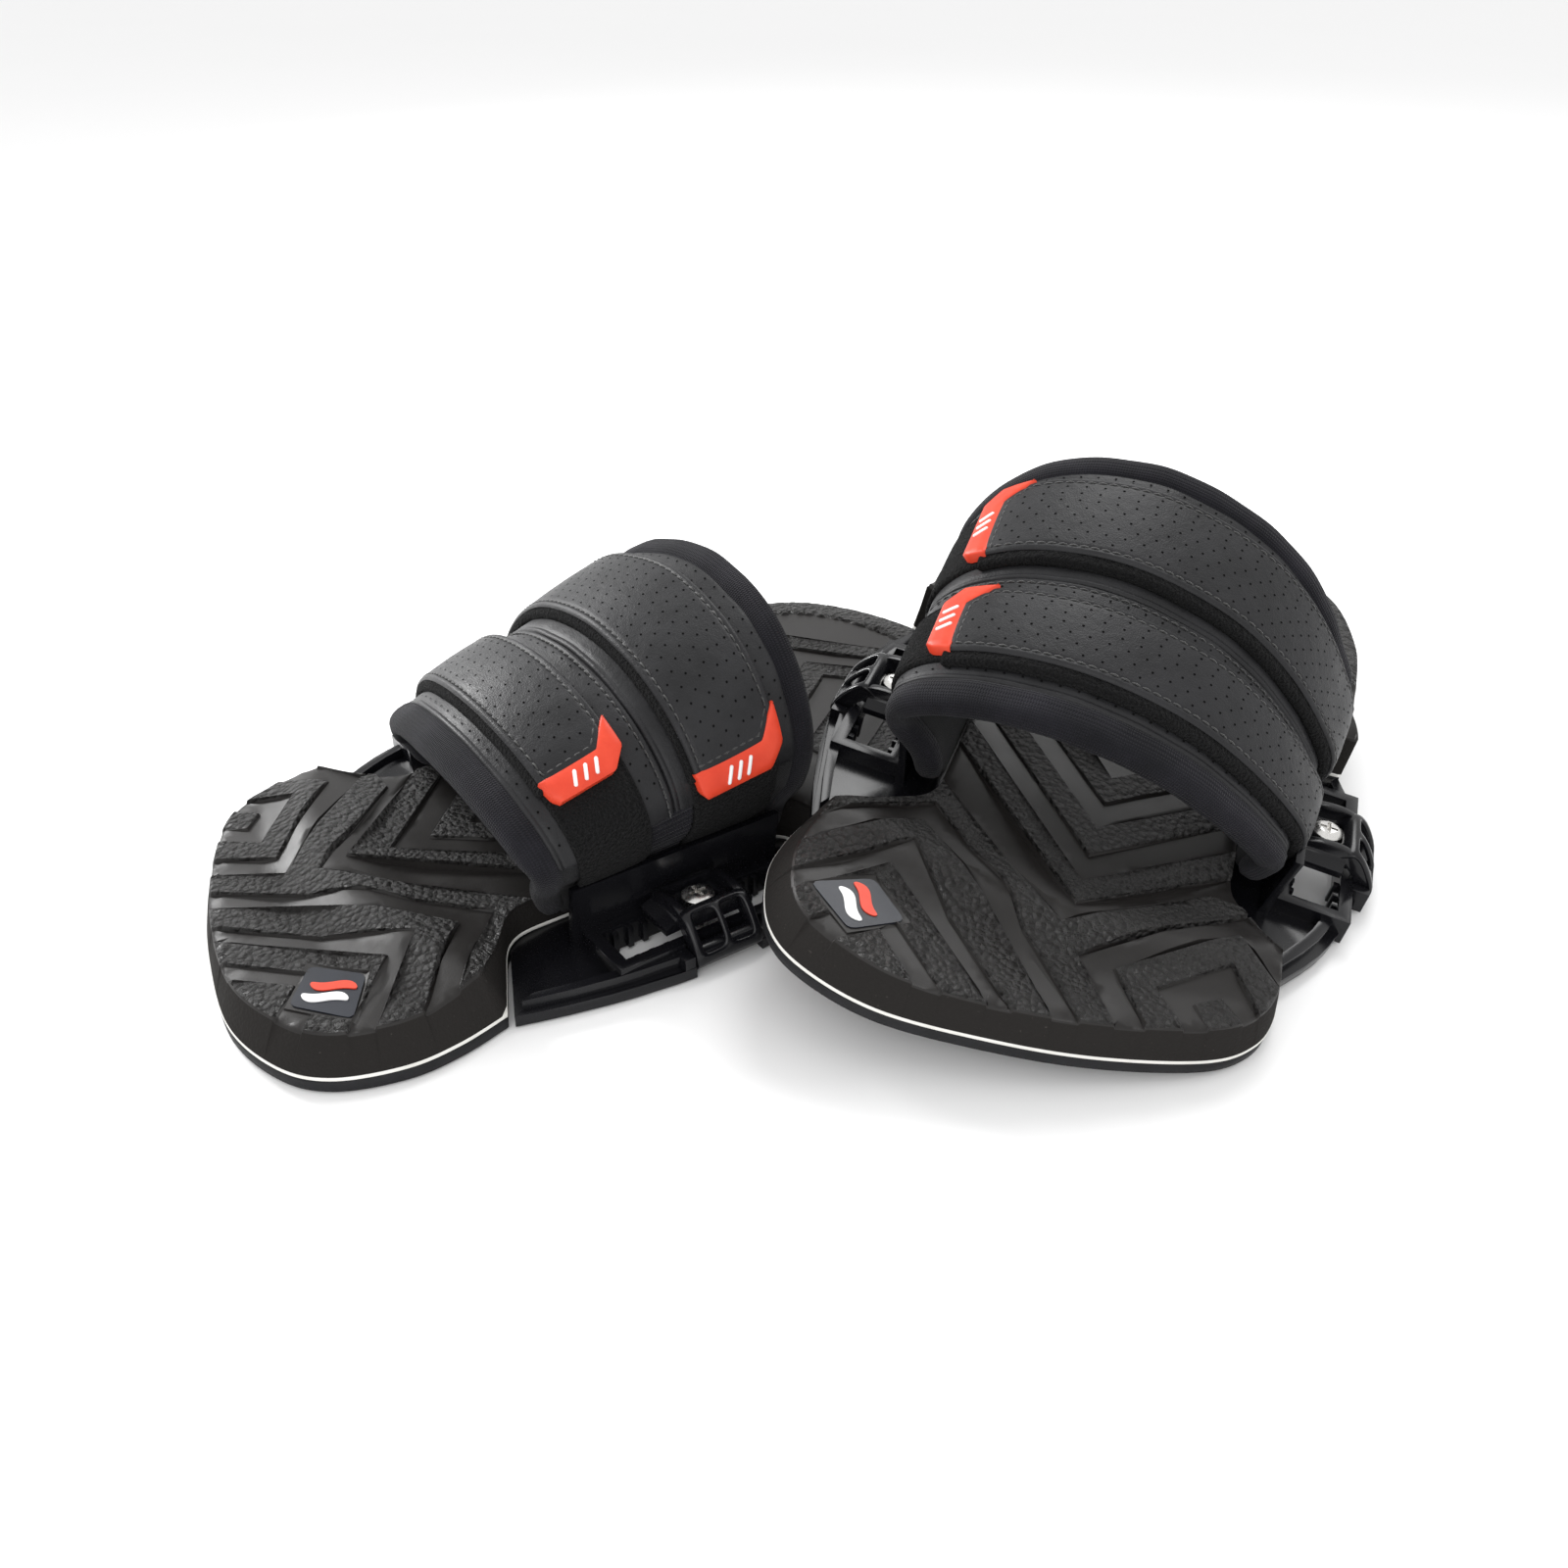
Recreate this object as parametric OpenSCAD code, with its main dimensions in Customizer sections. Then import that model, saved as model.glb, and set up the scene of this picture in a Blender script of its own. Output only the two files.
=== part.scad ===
// Pair of foot bindings for a twin-tip water sports board: foam foot pads, a moulded
// chassis with two clamps each, and a padded hook-and-loop double strap over the instep.
// The right binding lies flat. The left one is its mirror image and leans on the right heel.
// Local frame of one binding: +X lateral, +Y towards the toe, Z = 0 under the sole.

/* [Foot pad] */
// Thickness of the black base layer
sole_t = 5; // [4:0.5:6]
// Thickness of the white laminate between base and foam
laminate_t = 1.5; // [1:0.25:2]
// Height of the foam's top in the toe area
toe_top = 18; // [16:1:21]
// Height of the wavy ridge in front of the toes
ridge_top = 24; // [21:1:27]
// Height of the foot bed under the strap
bed_top = 18; // [16:1:20]
// Height of the heel rim
heel_top = 29.5; // [26:1:33]
// Depth of the dish in the heel
heel_dish = 5; // [2:1:8]

/* [Chassis and clamps] */
// Distance between the two screws of one binding
screw_span = 166; // [160:2:172]
// Radius of the screws' shanks
screw_r = 3; // [2.5:0.5:3]
// Radius of the screws' pan heads
head_r = 5.8; // [5:0.2:6]
// Width of a clamp over its two rails
clamp_w = 26; // [22:1:28]
// Radius of the hinge bar on the chassis rim
hinge_r = 2; // [1.6:0.1:2.2]
// Height of the wings that hold the straps
wing_top = 30; // [26:1:32]

/* [Strap] */
// Height of the pad's crown above the floor, level with the screws
crown_mid = 89; // [80:1:95]
// Fall of the crown per millimetre towards the toe
crown_fall = 0.34; // [0.25:0.01:0.4]
// Thickness of the instep pad
pad_t = 7.5; // [5:0.5:8]
// Thickness of the fuzzy loop strap
loop_t = 2.5; // [1.5:0.5:3]
// Thickness of the leather strap
strap_t = 3; // [2:0.5:3.5]
// Clearance between parts that move apart
gap = 0.3; // [0.2:0.05:0.5]

/* [Left binding] */
// Angle between the two bindings, seen from above
left_yaw = 36; // [30:1:42]
// Sideways lean of the left binding on the right heel
left_roll = 11.5; // [10:0.5:14]
// Lengthways lean of the left binding
left_pitch = -4.3; // [-6:0.1:-3]
// Place of the left binding's origin, across
left_x = -119; // [-125:1:-115]
// Place of the left binding's origin, along
left_y = -155; // [-165:1:-150]
// Height of the left binding's origin
left_z = 22.2; // [22:0.1:26]

/* [Hidden] */
MED = -1;
LAT = 1;
$fn = 48;

foam_z = sole_t + laminate_t;
screw_x = screw_span / 2;
toe_y = 152;
heel_y = -187;

// Toe and heel edges of the pad, as smooth curves through these points.
TOE = [[-89, 77], [-93, 95], [-93, 113], [-85, 134], [-70, 146], [-43, toe_y], [-8, 147],
    [24, 138], [56, 123], [70, 109], [75, 93], [74, 77]];
HEEL = [[90, -56], [91, -85], [89, -122], [75, -158], [40, -180], [-5, heel_y],
    [-52, -177], [-80, -151], [-90, -115], [-92, -85], [-91, -60]];
// Waist notches, where the chassis shows beside the foot bed.
NOTCH_LAT = [[58, 60], [52.5, 52], [52.5, -50], [58, -54], [80, -55]];
NOTCH_MED = [[-80, -59], [-58, -57], [-52.5, -51], [-52.5, 54], [-58, 62]];
// Outer edges of the chassis flanges.
RIM_LAT = [[90, -54], [97, -35], [100, -10], [100, 10], [96, 32], [88, 54], [75, 75]];
RIM_MED = [[-90, 75], [-95, 58], [-100, 36], [-103, 12], [-103, -12], [-99, -38], [-90, -58]];

// Ladder window in each flange, measured from the centre plane.
win_in = 74;
win_out = 91.5;
win_y = 34;
frame_w = 4.5;
frame_top = 10.5;
deck_top = 4.8;
rim_top = 8.5;

// Clamp: u runs outwards from the screw, and the hinge bar lies at hinge_u.
hinge_u = 16.5;
hinge_z = 6.5;
barrel_r = hinge_r + 2.2;
clamp_in = -9.5;
rail_t = 3;
seat_z = 12.8;
seat_t = 2.8;
head_z = seat_z + seat_t + 0.1;
tip_z = 1.8;

// Instep arch: section points from the medial base over the crown to the lateral base,
// as [x, share of the crown's height], at the front and at the rear edge.
arch_base = 13;
ARCH_FRONT = [[-60, 0], [-64, 0.22], [-74, 0.42], [-76, 0.6], [-69, 0.76], [-55, 0.89],
    [-38, 0.97], [-18, 1], [3, 0.96], [22, 0.86], [40, 0.69], [55, 0.5], [64, 0.33],
    [63, 0.18], [59, 0]];
ARCH_REAR = [[-60, 0], [-64, 0.16], [-76, 0.34], [-78, 0.54], [-69, 0.74], [-55, 0.88],
    [-38, 0.96], [-15, 1], [8, 0.965], [30, 0.885], [50, 0.74], [66, 0.54], [75, 0.35],
    [64, 0.16], [60, 0]];
front_base_med = 44;
front_base_lat = 37;
front_crown = 60;
rear_base = -49;
rear_crown = -54;
// Shares of the pad's length, from its front edge to its rear edge.
v_front_strap = [0.105, 0.36];
v_rear_strap = [0.53, 0.845];
// Places along the arch, counted in section points.
t_loop = [1.6, 9];
t_hinge = 11.3;
t_front_root = 12.2;
t_rear_root = 12.3;
t_front_end = 4.6;
t_rear_end_right = 3.3;
t_rear_end_left = 4.5;
tab_len = 1;

// ---- curves ----

function catmull(a, b, c, d, s) =
    0.5 * (2 * b + (c - a) * s + (2 * a - 5 * b + 4 * c - d) * s * s
        + (3 * b - a - 3 * c + d) * s * s * s);
function pick(p, i) = p[max(0, min(len(p) - 1, i))];
function along(p, t) = let (i = min(len(p) - 2, max(0, floor(t))))
    catmull(pick(p, i - 1), p[i], p[i + 1], pick(p, i + 2), t - i);
function smooth(p, n = 4) = [for (k = [0 : n * (len(p) - 1)]) along(p, k / n)];
function unit(v) = v / norm(v);
function towards(p, c, d) = p + d * unit(c - p);
function mix(a, b, s) = a + (b - a) * s;

// ---- foot pad ----

pad_outline = concat(smooth(TOE), NOTCH_LAT, smooth(HEEL), NOTCH_MED);

module pad_layer(z0, z1) {
    translate([0, 0, z0])
        linear_extrude(z1 - z0)
            polygon(pad_outline);
}

// Base layer, with a flat recess for the chassis plate across the waist.
module sole() {
    color([0.05, 0.05, 0.05])
        difference() {
            pad_layer(0, sole_t);
            translate([-70, -40, 2])
                cube([140, 80, sole_t]);
        }
}

module laminate() {
    color("white")
        pad_layer(sole_t, foam_z);
}

// Side view of the foam's top: toe area, ridge, foot bed, raised heel.
FOAM_SIDE = [[toe_y + 5, 0], [toe_y + 5, toe_top], [110, toe_top], [103, ridge_top - 1],
    [97, ridge_top], [91, ridge_top - 1.5], [82, bed_top + 1], [60, bed_top],
    [-46, bed_top], [-56, heel_top - 4], [-72, heel_top], [heel_y - 5, heel_top],
    [heel_y - 5, 0]];
dish_r = 400;

module foam_pad() {
    color([0.13, 0.12, 0.11])
        difference() {
            intersection() {
                pad_layer(foam_z, heel_top + 5);
                rotate([90, 0, 90])
                    translate([0, 0, -120])
                        linear_extrude(240)
                            polygon(FOAM_SIDE);
            }
            translate([0, -112, heel_top + dish_r - heel_dish])
                sphere(r = dish_r, $fn = 96);
        }
}

// Inset label on the medial side of the toe area.
BADGE = [[-59, 110.5], [-44.5, 124], [-59.5, 136], [-77, 122]];

module badge() {
    color([0.1, 0.11, 0.14])
        translate([0, 0, toe_top])
            linear_extrude(0.8)
                polygon(BADGE);
}

// ---- chassis ----

module flange_plan(side) {
    notch = side == LAT ? NOTCH_LAT : NOTCH_MED;
    rim = side == LAT ? RIM_LAT : RIM_MED;
    centre = [side * 78, 0];
    polygon(concat([for (p = notch) towards(p, centre, 1.2)], smooth(rim, 3)));
}

// A raised beam along the flange's outer edge.
module rim_plan(side) {
    rim = smooth(side == LAT ? RIM_LAT : RIM_MED, 3);
    centre = [side * 60, 0];
    inner = [for (p = rim) towards(p, centre, 9)];
    outer = [for (p = rim) towards(p, centre, 4)];
    polygon(concat(outer, [for (i = [len(inner) - 1 : -1 : 0]) inner[i]]));
}

module window_box(side, grow, z0, z1) {
    w = win_out - win_in + 2 * grow;
    translate([side * (win_in + win_out) / 2 - w / 2, -win_y - grow, z0])
        cube([w, 2 * (win_y + grow), z1 - z0]);
}

// Upright wing that holds the ends of both straps.
module wing(side) {
    foot = 65.2;
    head = 69.4;
    t = 2.8;
    rotate([90, 0, 0])
        translate([0, 0, -42])
            linear_extrude(84)
                polygon([[side * foot, 2.5], [side * (foot + 1.6), 14], [side * head, wing_top],
                    [side * (head + t), wing_top], [side * (foot + 1.6 + t), 14],
                    [side * (foot + t + 1), 2.5]]);
}

module flange(side) {
    difference() {
        union() {
            translate([0, 0, 0.6])
                linear_extrude(deck_top - 0.6)
                    flange_plan(side);
            translate([0, 0, deck_top - 0.1])
                linear_extrude(rim_top - deck_top + 0.1)
                    rim_plan(side);
            window_box(side, frame_w, 0.8, frame_top);
            wing(side);
        }
        window_box(side, 0, -1, frame_top + 1);
        // room for the clamp's barrel
        translate([side * (screw_x + hinge_u + 3) - 8, -clamp_w / 2 - 0.4, -1])
            cube([16, clamp_w + 0.8, 30]);
    }
    // ladder teeth along both window walls
    for (wall = [win_in + 0.9, win_out - 0.9], y = [-29 : 5.8 : 29])
        if (abs(y) > 12)
            translate([side * wall - 1, y - 1, 1])
                cube([2, 2, frame_top - 2.5]);
    // hinge bar for the clamp
    translate([side * (screw_x + hinge_u), clamp_w / 2 + 3, hinge_z])
        rotate([90, 0, 0])
            cylinder(r = hinge_r, h = clamp_w + 6);
    for (y = [-clamp_w / 2 - 4.6, clamp_w / 2 + 0.6])
        translate([side * (screw_x + hinge_u) - 3, y, 0.8])
            cube([6, 4, hinge_z + 1.8]);
}

module chassis() {
    color([0.03, 0.03, 0.035]) {
        flange(MED);
        flange(LAT);
        translate([-66, -39, 2])
            cube([132, 78, sole_t - 2.2]);
    }
}

// ---- instep arch ----

function arch_x_w(v, t) = along([for (i = [0 : 14]) mix(ARCH_FRONT[i], ARCH_REAR[i], v)], t);
function edge_y(v, w, t) = let (base = t < 7 ? front_base_med : front_base_lat)
    mix(mix(base, front_crown, w), mix(rear_base, rear_crown, w), v);
function crown_z(v) = crown_mid - crown_fall * mix(front_crown, rear_crown, v);
function arch_z(v, w) = mix(arch_base, crown_z(v), w);
function arch_flat(v, t) = let (q = arch_x_w(v, t)) [q[0], arch_z(v, q[1])];
function arch_normal(v, t) = let (d = arch_flat(v, t + 0.05) - arch_flat(v, t - 0.05))
    unit([-d[1], d[0]]);
function arch_point(v, t, r) = let (q = arch_x_w(v, t), n = arch_normal(v, t))
    [q[0] + r * n[0], edge_y(v, q[1], t), arch_z(v, q[1]) + r * n[1]];

// The two triangles of a quad, facing one way at 0 and the other way at 1.
function halves(q, way) = way == 0
    ? [[q[2], q[1], q[0]], [q[3], q[2], q[0]]]
    : [[q[0], q[1], q[2]], [q[0], q[2], q[3]]];

// A closed strip of the arch between two shares v, two places t and two offsets r.
module arch_strip(v, t, r, per = 3) {
    nt = ceil(abs(t[1] - t[0]) * per);
    nv = 2;
    row = nt + 1;
    sheet = row * (nv + 1);
    function id(k, j, i) = k * sheet + j * row + i;
    points = [for (k = [0, 1], j = [0 : nv], i = [0 : nt])
        arch_point(mix(v[0], v[1], j / nv), mix(t[0], t[1], i / nt), r[k])];
    broad = [for (j = [0 : nv - 1], i = [0 : nt - 1], k = [0, 1])
        each halves([id(k, j, i), id(k, j, i + 1), id(k, j + 1, i + 1), id(k, j + 1, i)], k)];
    long = [for (i = [0 : nt - 1], j = [0, nv])
        each halves([id(0, j, i), id(1, j, i), id(1, j, i + 1), id(0, j, i + 1)], j / nv)];
    ends = [for (j = [0 : nv - 1], i = [0, nt])
        each halves([id(0, j, i), id(0, j + 1, i), id(1, j + 1, i), id(1, j, i)], i / nt)];
    polyhedron(points, concat(broad, long, ends), convexity = 6);
}

r_loop = [gap, gap + loop_t];
r_strap = [gap + loop_t + gap, gap + loop_t + gap + strap_t];

module strap_pad() {
    color([0.12, 0.12, 0.13])
        arch_strip([0.1, 0.915], [0, 14], [-pad_t, 0]);
}

module front_roll() {
    color([0.07, 0.07, 0.09])
        arch_strip([0, 0.095], [0, 14], [-pad_t - 0.5, 1.5]);
}

module rear_roll() {
    color([0.07, 0.07, 0.09])
        arch_strip([0.92, 1], [0, 14], [-pad_t - 0.5, 2.5]);
}

module loop_strap(v) {
    color([0.04, 0.04, 0.04])
        arch_strip(v, t_loop, r_loop);
}

module front_loop_strap() {
    loop_strap(v_front_strap);
}

module rear_loop_strap() {
    loop_strap(v_rear_strap);
}

module leather(v, t) {
    color([0.16, 0.16, 0.17])
        arch_strip(v, t, r_strap);
}

// The part of each leather strap below its hinge line, fixed in the lateral wing.
module front_strap_root() {
    leather(v_front_strap, [t_hinge + 0.06, t_front_root]);
}

module rear_strap_root() {
    leather(v_rear_strap, [t_hinge + 0.06, t_rear_root]);
}

module front_strap() {
    leather(v_front_strap, [t_front_end, t_hinge]);
}

module rear_strap(end) {
    leather(v_rear_strap, [end, t_hinge]);
}

module tab(v, end) {
    color([0.85, 0.2, 0.12])
        arch_strip(v, [end - tab_len, end - 0.03], r_strap);
}

module front_tab() {
    tab(v_front_strap, t_front_end);
}

module rear_tab(end) {
    tab(v_rear_strap, end);
}

// ---- clamps and screws ----

// Side view of a rail: over the screw, then curling down to the hinge.
RAIL_TOP = [[clamp_in, 14], [clamp_in, 18], [-6, 20.2], [2, 21.2], [9, 20], [15, 15.5],
    [18.8, 10.5], [hinge_u + barrel_r, hinge_z]];
RAIL_LOW = [[hinge_u - barrel_r, hinge_z], [12.3, 11], [8.5, 14.5], [4, seat_z],
    [clamp_in, seat_z]];

module rail() {
    rotate([90, 0, 0])
        translate([0, 0, -rail_t / 2])
            linear_extrude(rail_t)
                polygon(concat(smooth(RAIL_TOP, 3), RAIL_LOW));
}

// Concave finger scoop beside a rail, drawn in the plane across the clamp.
SCOOP = [[clamp_w / 2 - 1, 19.6], [clamp_w / 2 + 0.6, 16.5], [clamp_w / 2 + 4.6, 14.4],
    [clamp_w / 2 + 4.6, 12], [clamp_w / 2 - 1, 12.4]];

module clamp() {
    difference() {
        union() {
            for (y = [-1, 1])
                translate([0, y * (clamp_w - rail_t) / 2, 0])
                    rail();
            translate([clamp_in, -clamp_w / 2 + 1, seat_z])
                cube([18.5, clamp_w - 2, seat_t]);
            translate([clamp_in, -clamp_w / 2 + 1, seat_z])
                cube([2, clamp_w - 2, 6]);
            translate([7, -clamp_w / 2 + 1, seat_z])
                cube([2.4, clamp_w - 2, 6.8]);
            for (y = [0, 1])
                mirror([0, y, 0])
                    translate([clamp_in, 0, 0])
                        rotate([90, 0, 90])
                            linear_extrude(17)
                                polygon(SCOOP);
            translate([hinge_u, clamp_w / 2, hinge_z])
                rotate([90, 0, 0])
                    cylinder(r = barrel_r, h = clamp_w);
        }
        translate([0, 0, seat_z - 1])
            cylinder(r = screw_r + gap, h = seat_t + 3);
        translate([hinge_u, clamp_w / 2 + 1, hinge_z])
            rotate([90, 0, 0])
                cylinder(r = hinge_r + 0.08, h = clamp_w + 2);
    }
}

module screw() {
    color([0.75, 0.75, 0.77])
        difference() {
            union() {
                translate([0, 0, tip_z])
                    cylinder(r = screw_r, h = seat_z - 0.4 - tip_z);
                translate([0, 0, seat_z - 0.5])
                    cylinder(r = screw_r - 0.4, h = head_z - seat_z + 0.6);
                translate([0, 0, head_z])
                    cylinder(r = head_r, h = 2.4);
                translate([0, 0, head_z + 2.4])
                    cylinder(r1 = head_r, r2 = head_r - 2.2, h = 1.3);
            }
            for (a = [0, 90])
                rotate([0, 0, a])
                    translate([-3.2, -0.6, head_z + 1.6])
                        cube([6.4, 1.2, 4]);
        }
}

module at_screw(side) {
    translate([side * screw_x, 0, 0])
        rotate([0, 0, side == LAT ? 0 : 180])
            children();
}

module side_clamp(side) {
    color([0.03, 0.03, 0.035])
        at_screw(side)
            clamp();
}

module side_screw(side) {
    at_screw(side)
        screw();
}

// ---- assembly ----

module left_place() {
    translate([left_x, left_y, left_z])
        rotate([0, 0, left_yaw])
            rotate([left_pitch, -left_roll, 0])
                mirror([1, 0, 0])
                    children();
}

sole();  // right_sole
laminate();  // right_laminate
foam_pad();  // right_foam_pad
badge();  // right_badge
chassis();  // right_chassis
strap_pad();  // right_strap_pad
front_roll();  // right_front_roll
rear_roll();  // right_rear_roll
front_loop_strap();  // right_front_loop_strap
rear_loop_strap();  // right_rear_loop_strap
front_strap_root();  // right_front_strap_root
rear_strap_root();  // right_rear_strap_root
front_strap();  // right_front_strap
rear_strap(t_rear_end_right);  // right_rear_strap
front_tab();  // right_front_tab
rear_tab(t_rear_end_right);  // right_rear_tab
side_clamp(MED);  // right_medial_clamp
side_clamp(LAT);  // right_lateral_clamp
side_screw(MED);  // right_medial_screw
side_screw(LAT);  // right_lateral_screw
left_place() sole();  // left_sole
left_place() laminate();  // left_laminate
left_place() foam_pad();  // left_foam_pad
left_place() badge();  // left_badge
left_place() chassis();  // left_chassis
left_place() strap_pad();  // left_strap_pad
left_place() front_roll();  // left_front_roll
left_place() rear_roll();  // left_rear_roll
left_place() front_loop_strap();  // left_front_loop_strap
left_place() rear_loop_strap();  // left_rear_loop_strap
left_place() front_strap_root();  // left_front_strap_root
left_place() rear_strap_root();  // left_rear_strap_root
left_place() front_strap();  // left_front_strap
left_place() rear_strap(t_rear_end_left);  // left_rear_strap
left_place() front_tab();  // left_front_tab
left_place() rear_tab(t_rear_end_left);  // left_rear_tab
left_place() side_clamp(MED);  // left_medial_clamp
left_place() side_clamp(LAT);  // left_lateral_clamp
left_place() side_screw(MED);  // left_medial_screw
left_place() side_screw(LAT);  // left_lateral_screw
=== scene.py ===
"""Looks of a pair of foot bindings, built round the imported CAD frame.

Each binding is made once in a plan frame of its own, in millimetres: x to the outside of the
foot, y to the toe, z up from the sole. The right binding stands in the row frame as it is, and
the left one is its mirror image, leaning on the right one's heel.
"""

import math
from contextlib import contextmanager

import bmesh
import bpy
import numpy as np
from mathutils import Matrix, Vector
from mathutils.geometry import delaunay_2d_cdt


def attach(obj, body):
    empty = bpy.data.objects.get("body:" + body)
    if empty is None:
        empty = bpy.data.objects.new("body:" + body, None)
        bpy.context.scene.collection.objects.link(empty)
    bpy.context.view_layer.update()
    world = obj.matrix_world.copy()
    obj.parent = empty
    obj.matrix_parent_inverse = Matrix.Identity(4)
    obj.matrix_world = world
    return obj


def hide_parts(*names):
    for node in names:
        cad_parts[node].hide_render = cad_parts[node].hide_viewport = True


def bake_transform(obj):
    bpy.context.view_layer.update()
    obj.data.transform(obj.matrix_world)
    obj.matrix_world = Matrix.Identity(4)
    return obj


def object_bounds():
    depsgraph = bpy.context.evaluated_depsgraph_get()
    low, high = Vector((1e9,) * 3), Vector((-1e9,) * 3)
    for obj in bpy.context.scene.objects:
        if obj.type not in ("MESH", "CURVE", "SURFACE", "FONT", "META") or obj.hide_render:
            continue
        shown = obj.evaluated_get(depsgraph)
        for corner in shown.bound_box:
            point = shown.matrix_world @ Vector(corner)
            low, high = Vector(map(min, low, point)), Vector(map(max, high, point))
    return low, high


MM = 0.001
RIGHT = "right"
LEFT = "left"
SIDES = (RIGHT, LEFT)

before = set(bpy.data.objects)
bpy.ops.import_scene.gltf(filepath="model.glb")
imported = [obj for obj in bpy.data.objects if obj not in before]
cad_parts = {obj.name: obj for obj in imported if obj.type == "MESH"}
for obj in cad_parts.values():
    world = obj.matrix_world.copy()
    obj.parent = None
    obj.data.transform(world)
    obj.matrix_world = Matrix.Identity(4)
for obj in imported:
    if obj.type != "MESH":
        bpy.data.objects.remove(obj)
cad_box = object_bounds()

# Where each binding stands, as in the CAD model.
LEFT_YAW = 36
LEFT_ROLL = -11.5
LEFT_PITCH = -4.3
LEFT_ORIGIN = (-119, -155, 22.2)
PLACE = {
    RIGHT: Matrix.Identity(4),
    LEFT: Matrix.Translation(LEFT_ORIGIN)
    @ Matrix.Rotation(math.radians(LEFT_YAW), 4, "Z")
    @ Matrix.Rotation(math.radians(LEFT_ROLL), 4, "Y")
    @ Matrix.Rotation(math.radians(LEFT_PITCH), 4, "X")
    @ Matrix.Diagonal((-1, 1, 1, 1)),
}


# ---------------------------------------------------------------- curves and the instep arch


def spline(points, t):
    """Catmull-Rom curve through the points at the places t, one point per unit of t."""
    p = np.asarray(points, float)
    t = np.asarray(t, float)
    last = len(p) - 1
    i = np.clip(np.floor(t).astype(int), 0, last - 1)
    s = (t - i)[..., None]
    a = p[np.clip(i - 1, 0, last)]
    b = p[i]
    c = p[i + 1]
    d = p[np.clip(i + 2, 0, last)]
    return 0.5 * (
        2 * b
        + (c - a) * s
        + (2 * a - 5 * b + 4 * c - d) * s**2
        + (3 * b - a - 3 * c + d) * s**3
    )


def smooth_line(points, steps):
    return spline(points, np.linspace(0, len(points) - 1, steps * (len(points) - 1) + 1))


def distances(points):
    """How far along a polyline each of its points is."""
    return np.concatenate([[0], np.cumsum(np.linalg.norm(np.diff(points, axis=0), axis=1))])


def mix(a, b, s):
    return a + (b - a) * s


def ease(x, low, high):
    """0 below low, 1 above high, and smooth between them."""
    s = np.clip((x - low) / (high - low), 0, 1)
    return s * s * (3 - 2 * s)


# The arch's section as [x, share of the crown's height], from the medial base over the
# crown to the lateral base, at its front and at its rear edge, as in the CAD model.
ARCH_BASE = 13
CROWN_MID = 89
CROWN_FALL = 0.34
ARCH_FRONT = [
    [-60, 0], [-64, 0.22], [-74, 0.42], [-76, 0.6], [-69, 0.76], [-55, 0.89], [-38, 0.97],
    [-18, 1], [3, 0.96], [22, 0.86], [40, 0.69], [55, 0.5], [64, 0.33], [63, 0.18], [59, 0],
]
ARCH_REAR = [
    [-60, 0], [-64, 0.16], [-76, 0.34], [-78, 0.54], [-69, 0.74], [-55, 0.88], [-38, 0.96],
    [-15, 1], [8, 0.965], [30, 0.885], [50, 0.74], [66, 0.54], [75, 0.35], [64, 0.16], [60, 0],
]
FRONT_BASE_MEDIAL = 44
FRONT_BASE_LATERAL = 37
FRONT_CROWN = 60
REAR_BASE = -49
REAR_CROWN = -54
ARCH_END = 14
CROWN_T = 7


def arch(v, t, r):
    """Points of the arch at shares v of its depth, places t along it, r proud of its surface."""
    v, t, r = np.broadcast_arrays(
        np.asarray(v, float), np.asarray(t, float), np.asarray(r, float)
    )
    crown = CROWN_MID - CROWN_FALL * mix(FRONT_CROWN, REAR_CROWN, v)

    def section(place):
        front = spline(ARCH_FRONT, place)
        rear = spline(ARCH_REAR, place)
        both = front + (rear - front) * v[..., None]
        return both[..., 0], both[..., 1]

    def flat(place):
        x, w = section(place)
        return np.stack([x, mix(ARCH_BASE, crown, w)], -1)

    x, w = section(t)
    along = flat(t + 0.05) - flat(t - 0.05)
    normal = np.stack([-along[..., 1], along[..., 0]], -1)
    normal /= np.linalg.norm(normal, axis=-1, keepdims=True)
    base = FRONT_BASE_LATERAL + (FRONT_BASE_MEDIAL - FRONT_BASE_LATERAL) * ease(
        -t, -CROWN_T - 1, -CROWN_T + 1
    )
    y = mix(mix(base, FRONT_CROWN, w), mix(REAR_BASE, REAR_CROWN, w), v)
    return np.stack(
        [x + r * normal[..., 0], y, mix(ARCH_BASE, crown, w) + r * normal[..., 1]], -1
    )


# ---------------------------------------------------------------- meshes


def place(points, side):
    """Plan frame in millimetres to the row frame in metres."""
    m = np.array(PLACE[side])
    return (np.asarray(points, float) @ m[:3, :3].T + m[:3, 3]) * MM


def row_point(point, side):
    return Vector(place([point], side)[0])


def finish_piece(obj, body, nodes):
    if body:
        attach(obj, body)
    if nodes:
        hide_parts(*nodes)


def add_object(name, data):
    obj = bpy.data.objects.new(name, data)
    bpy.context.scene.collection.objects.link(obj)
    return obj


def new_object(name, points, faces, side, material, uv=None, marks=None, flat=False):
    """A mesh object from plan-frame points. marks gives each face's material index."""
    co = place(points, side)
    turned = side == LEFT
    faces = [list(reversed(f)) if turned else list(f) for f in faces]
    mesh = bpy.data.meshes.new(name)
    mesh.from_pydata([tuple(c) for c in co], [], faces)
    materials = material if isinstance(material, (list, tuple)) else [material]
    for m in materials:
        mesh.materials.append(m)
    if marks is not None:
        mesh.polygons.foreach_set("material_index", np.asarray(marks, np.int32))
    mesh.polygons.foreach_set("use_smooth", np.full(len(faces), not flat))
    if uv is not None:
        layer = mesh.uv_layers.new(name="UVMap")
        index = np.empty(len(mesh.loops), np.int32)
        mesh.loops.foreach_get("vertex_index", index)
        layer.data.foreach_set("uv", np.asarray(uv, np.float32)[index].ravel())
    mesh.validate()
    mesh.update()
    return add_object(name, mesh)


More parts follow.
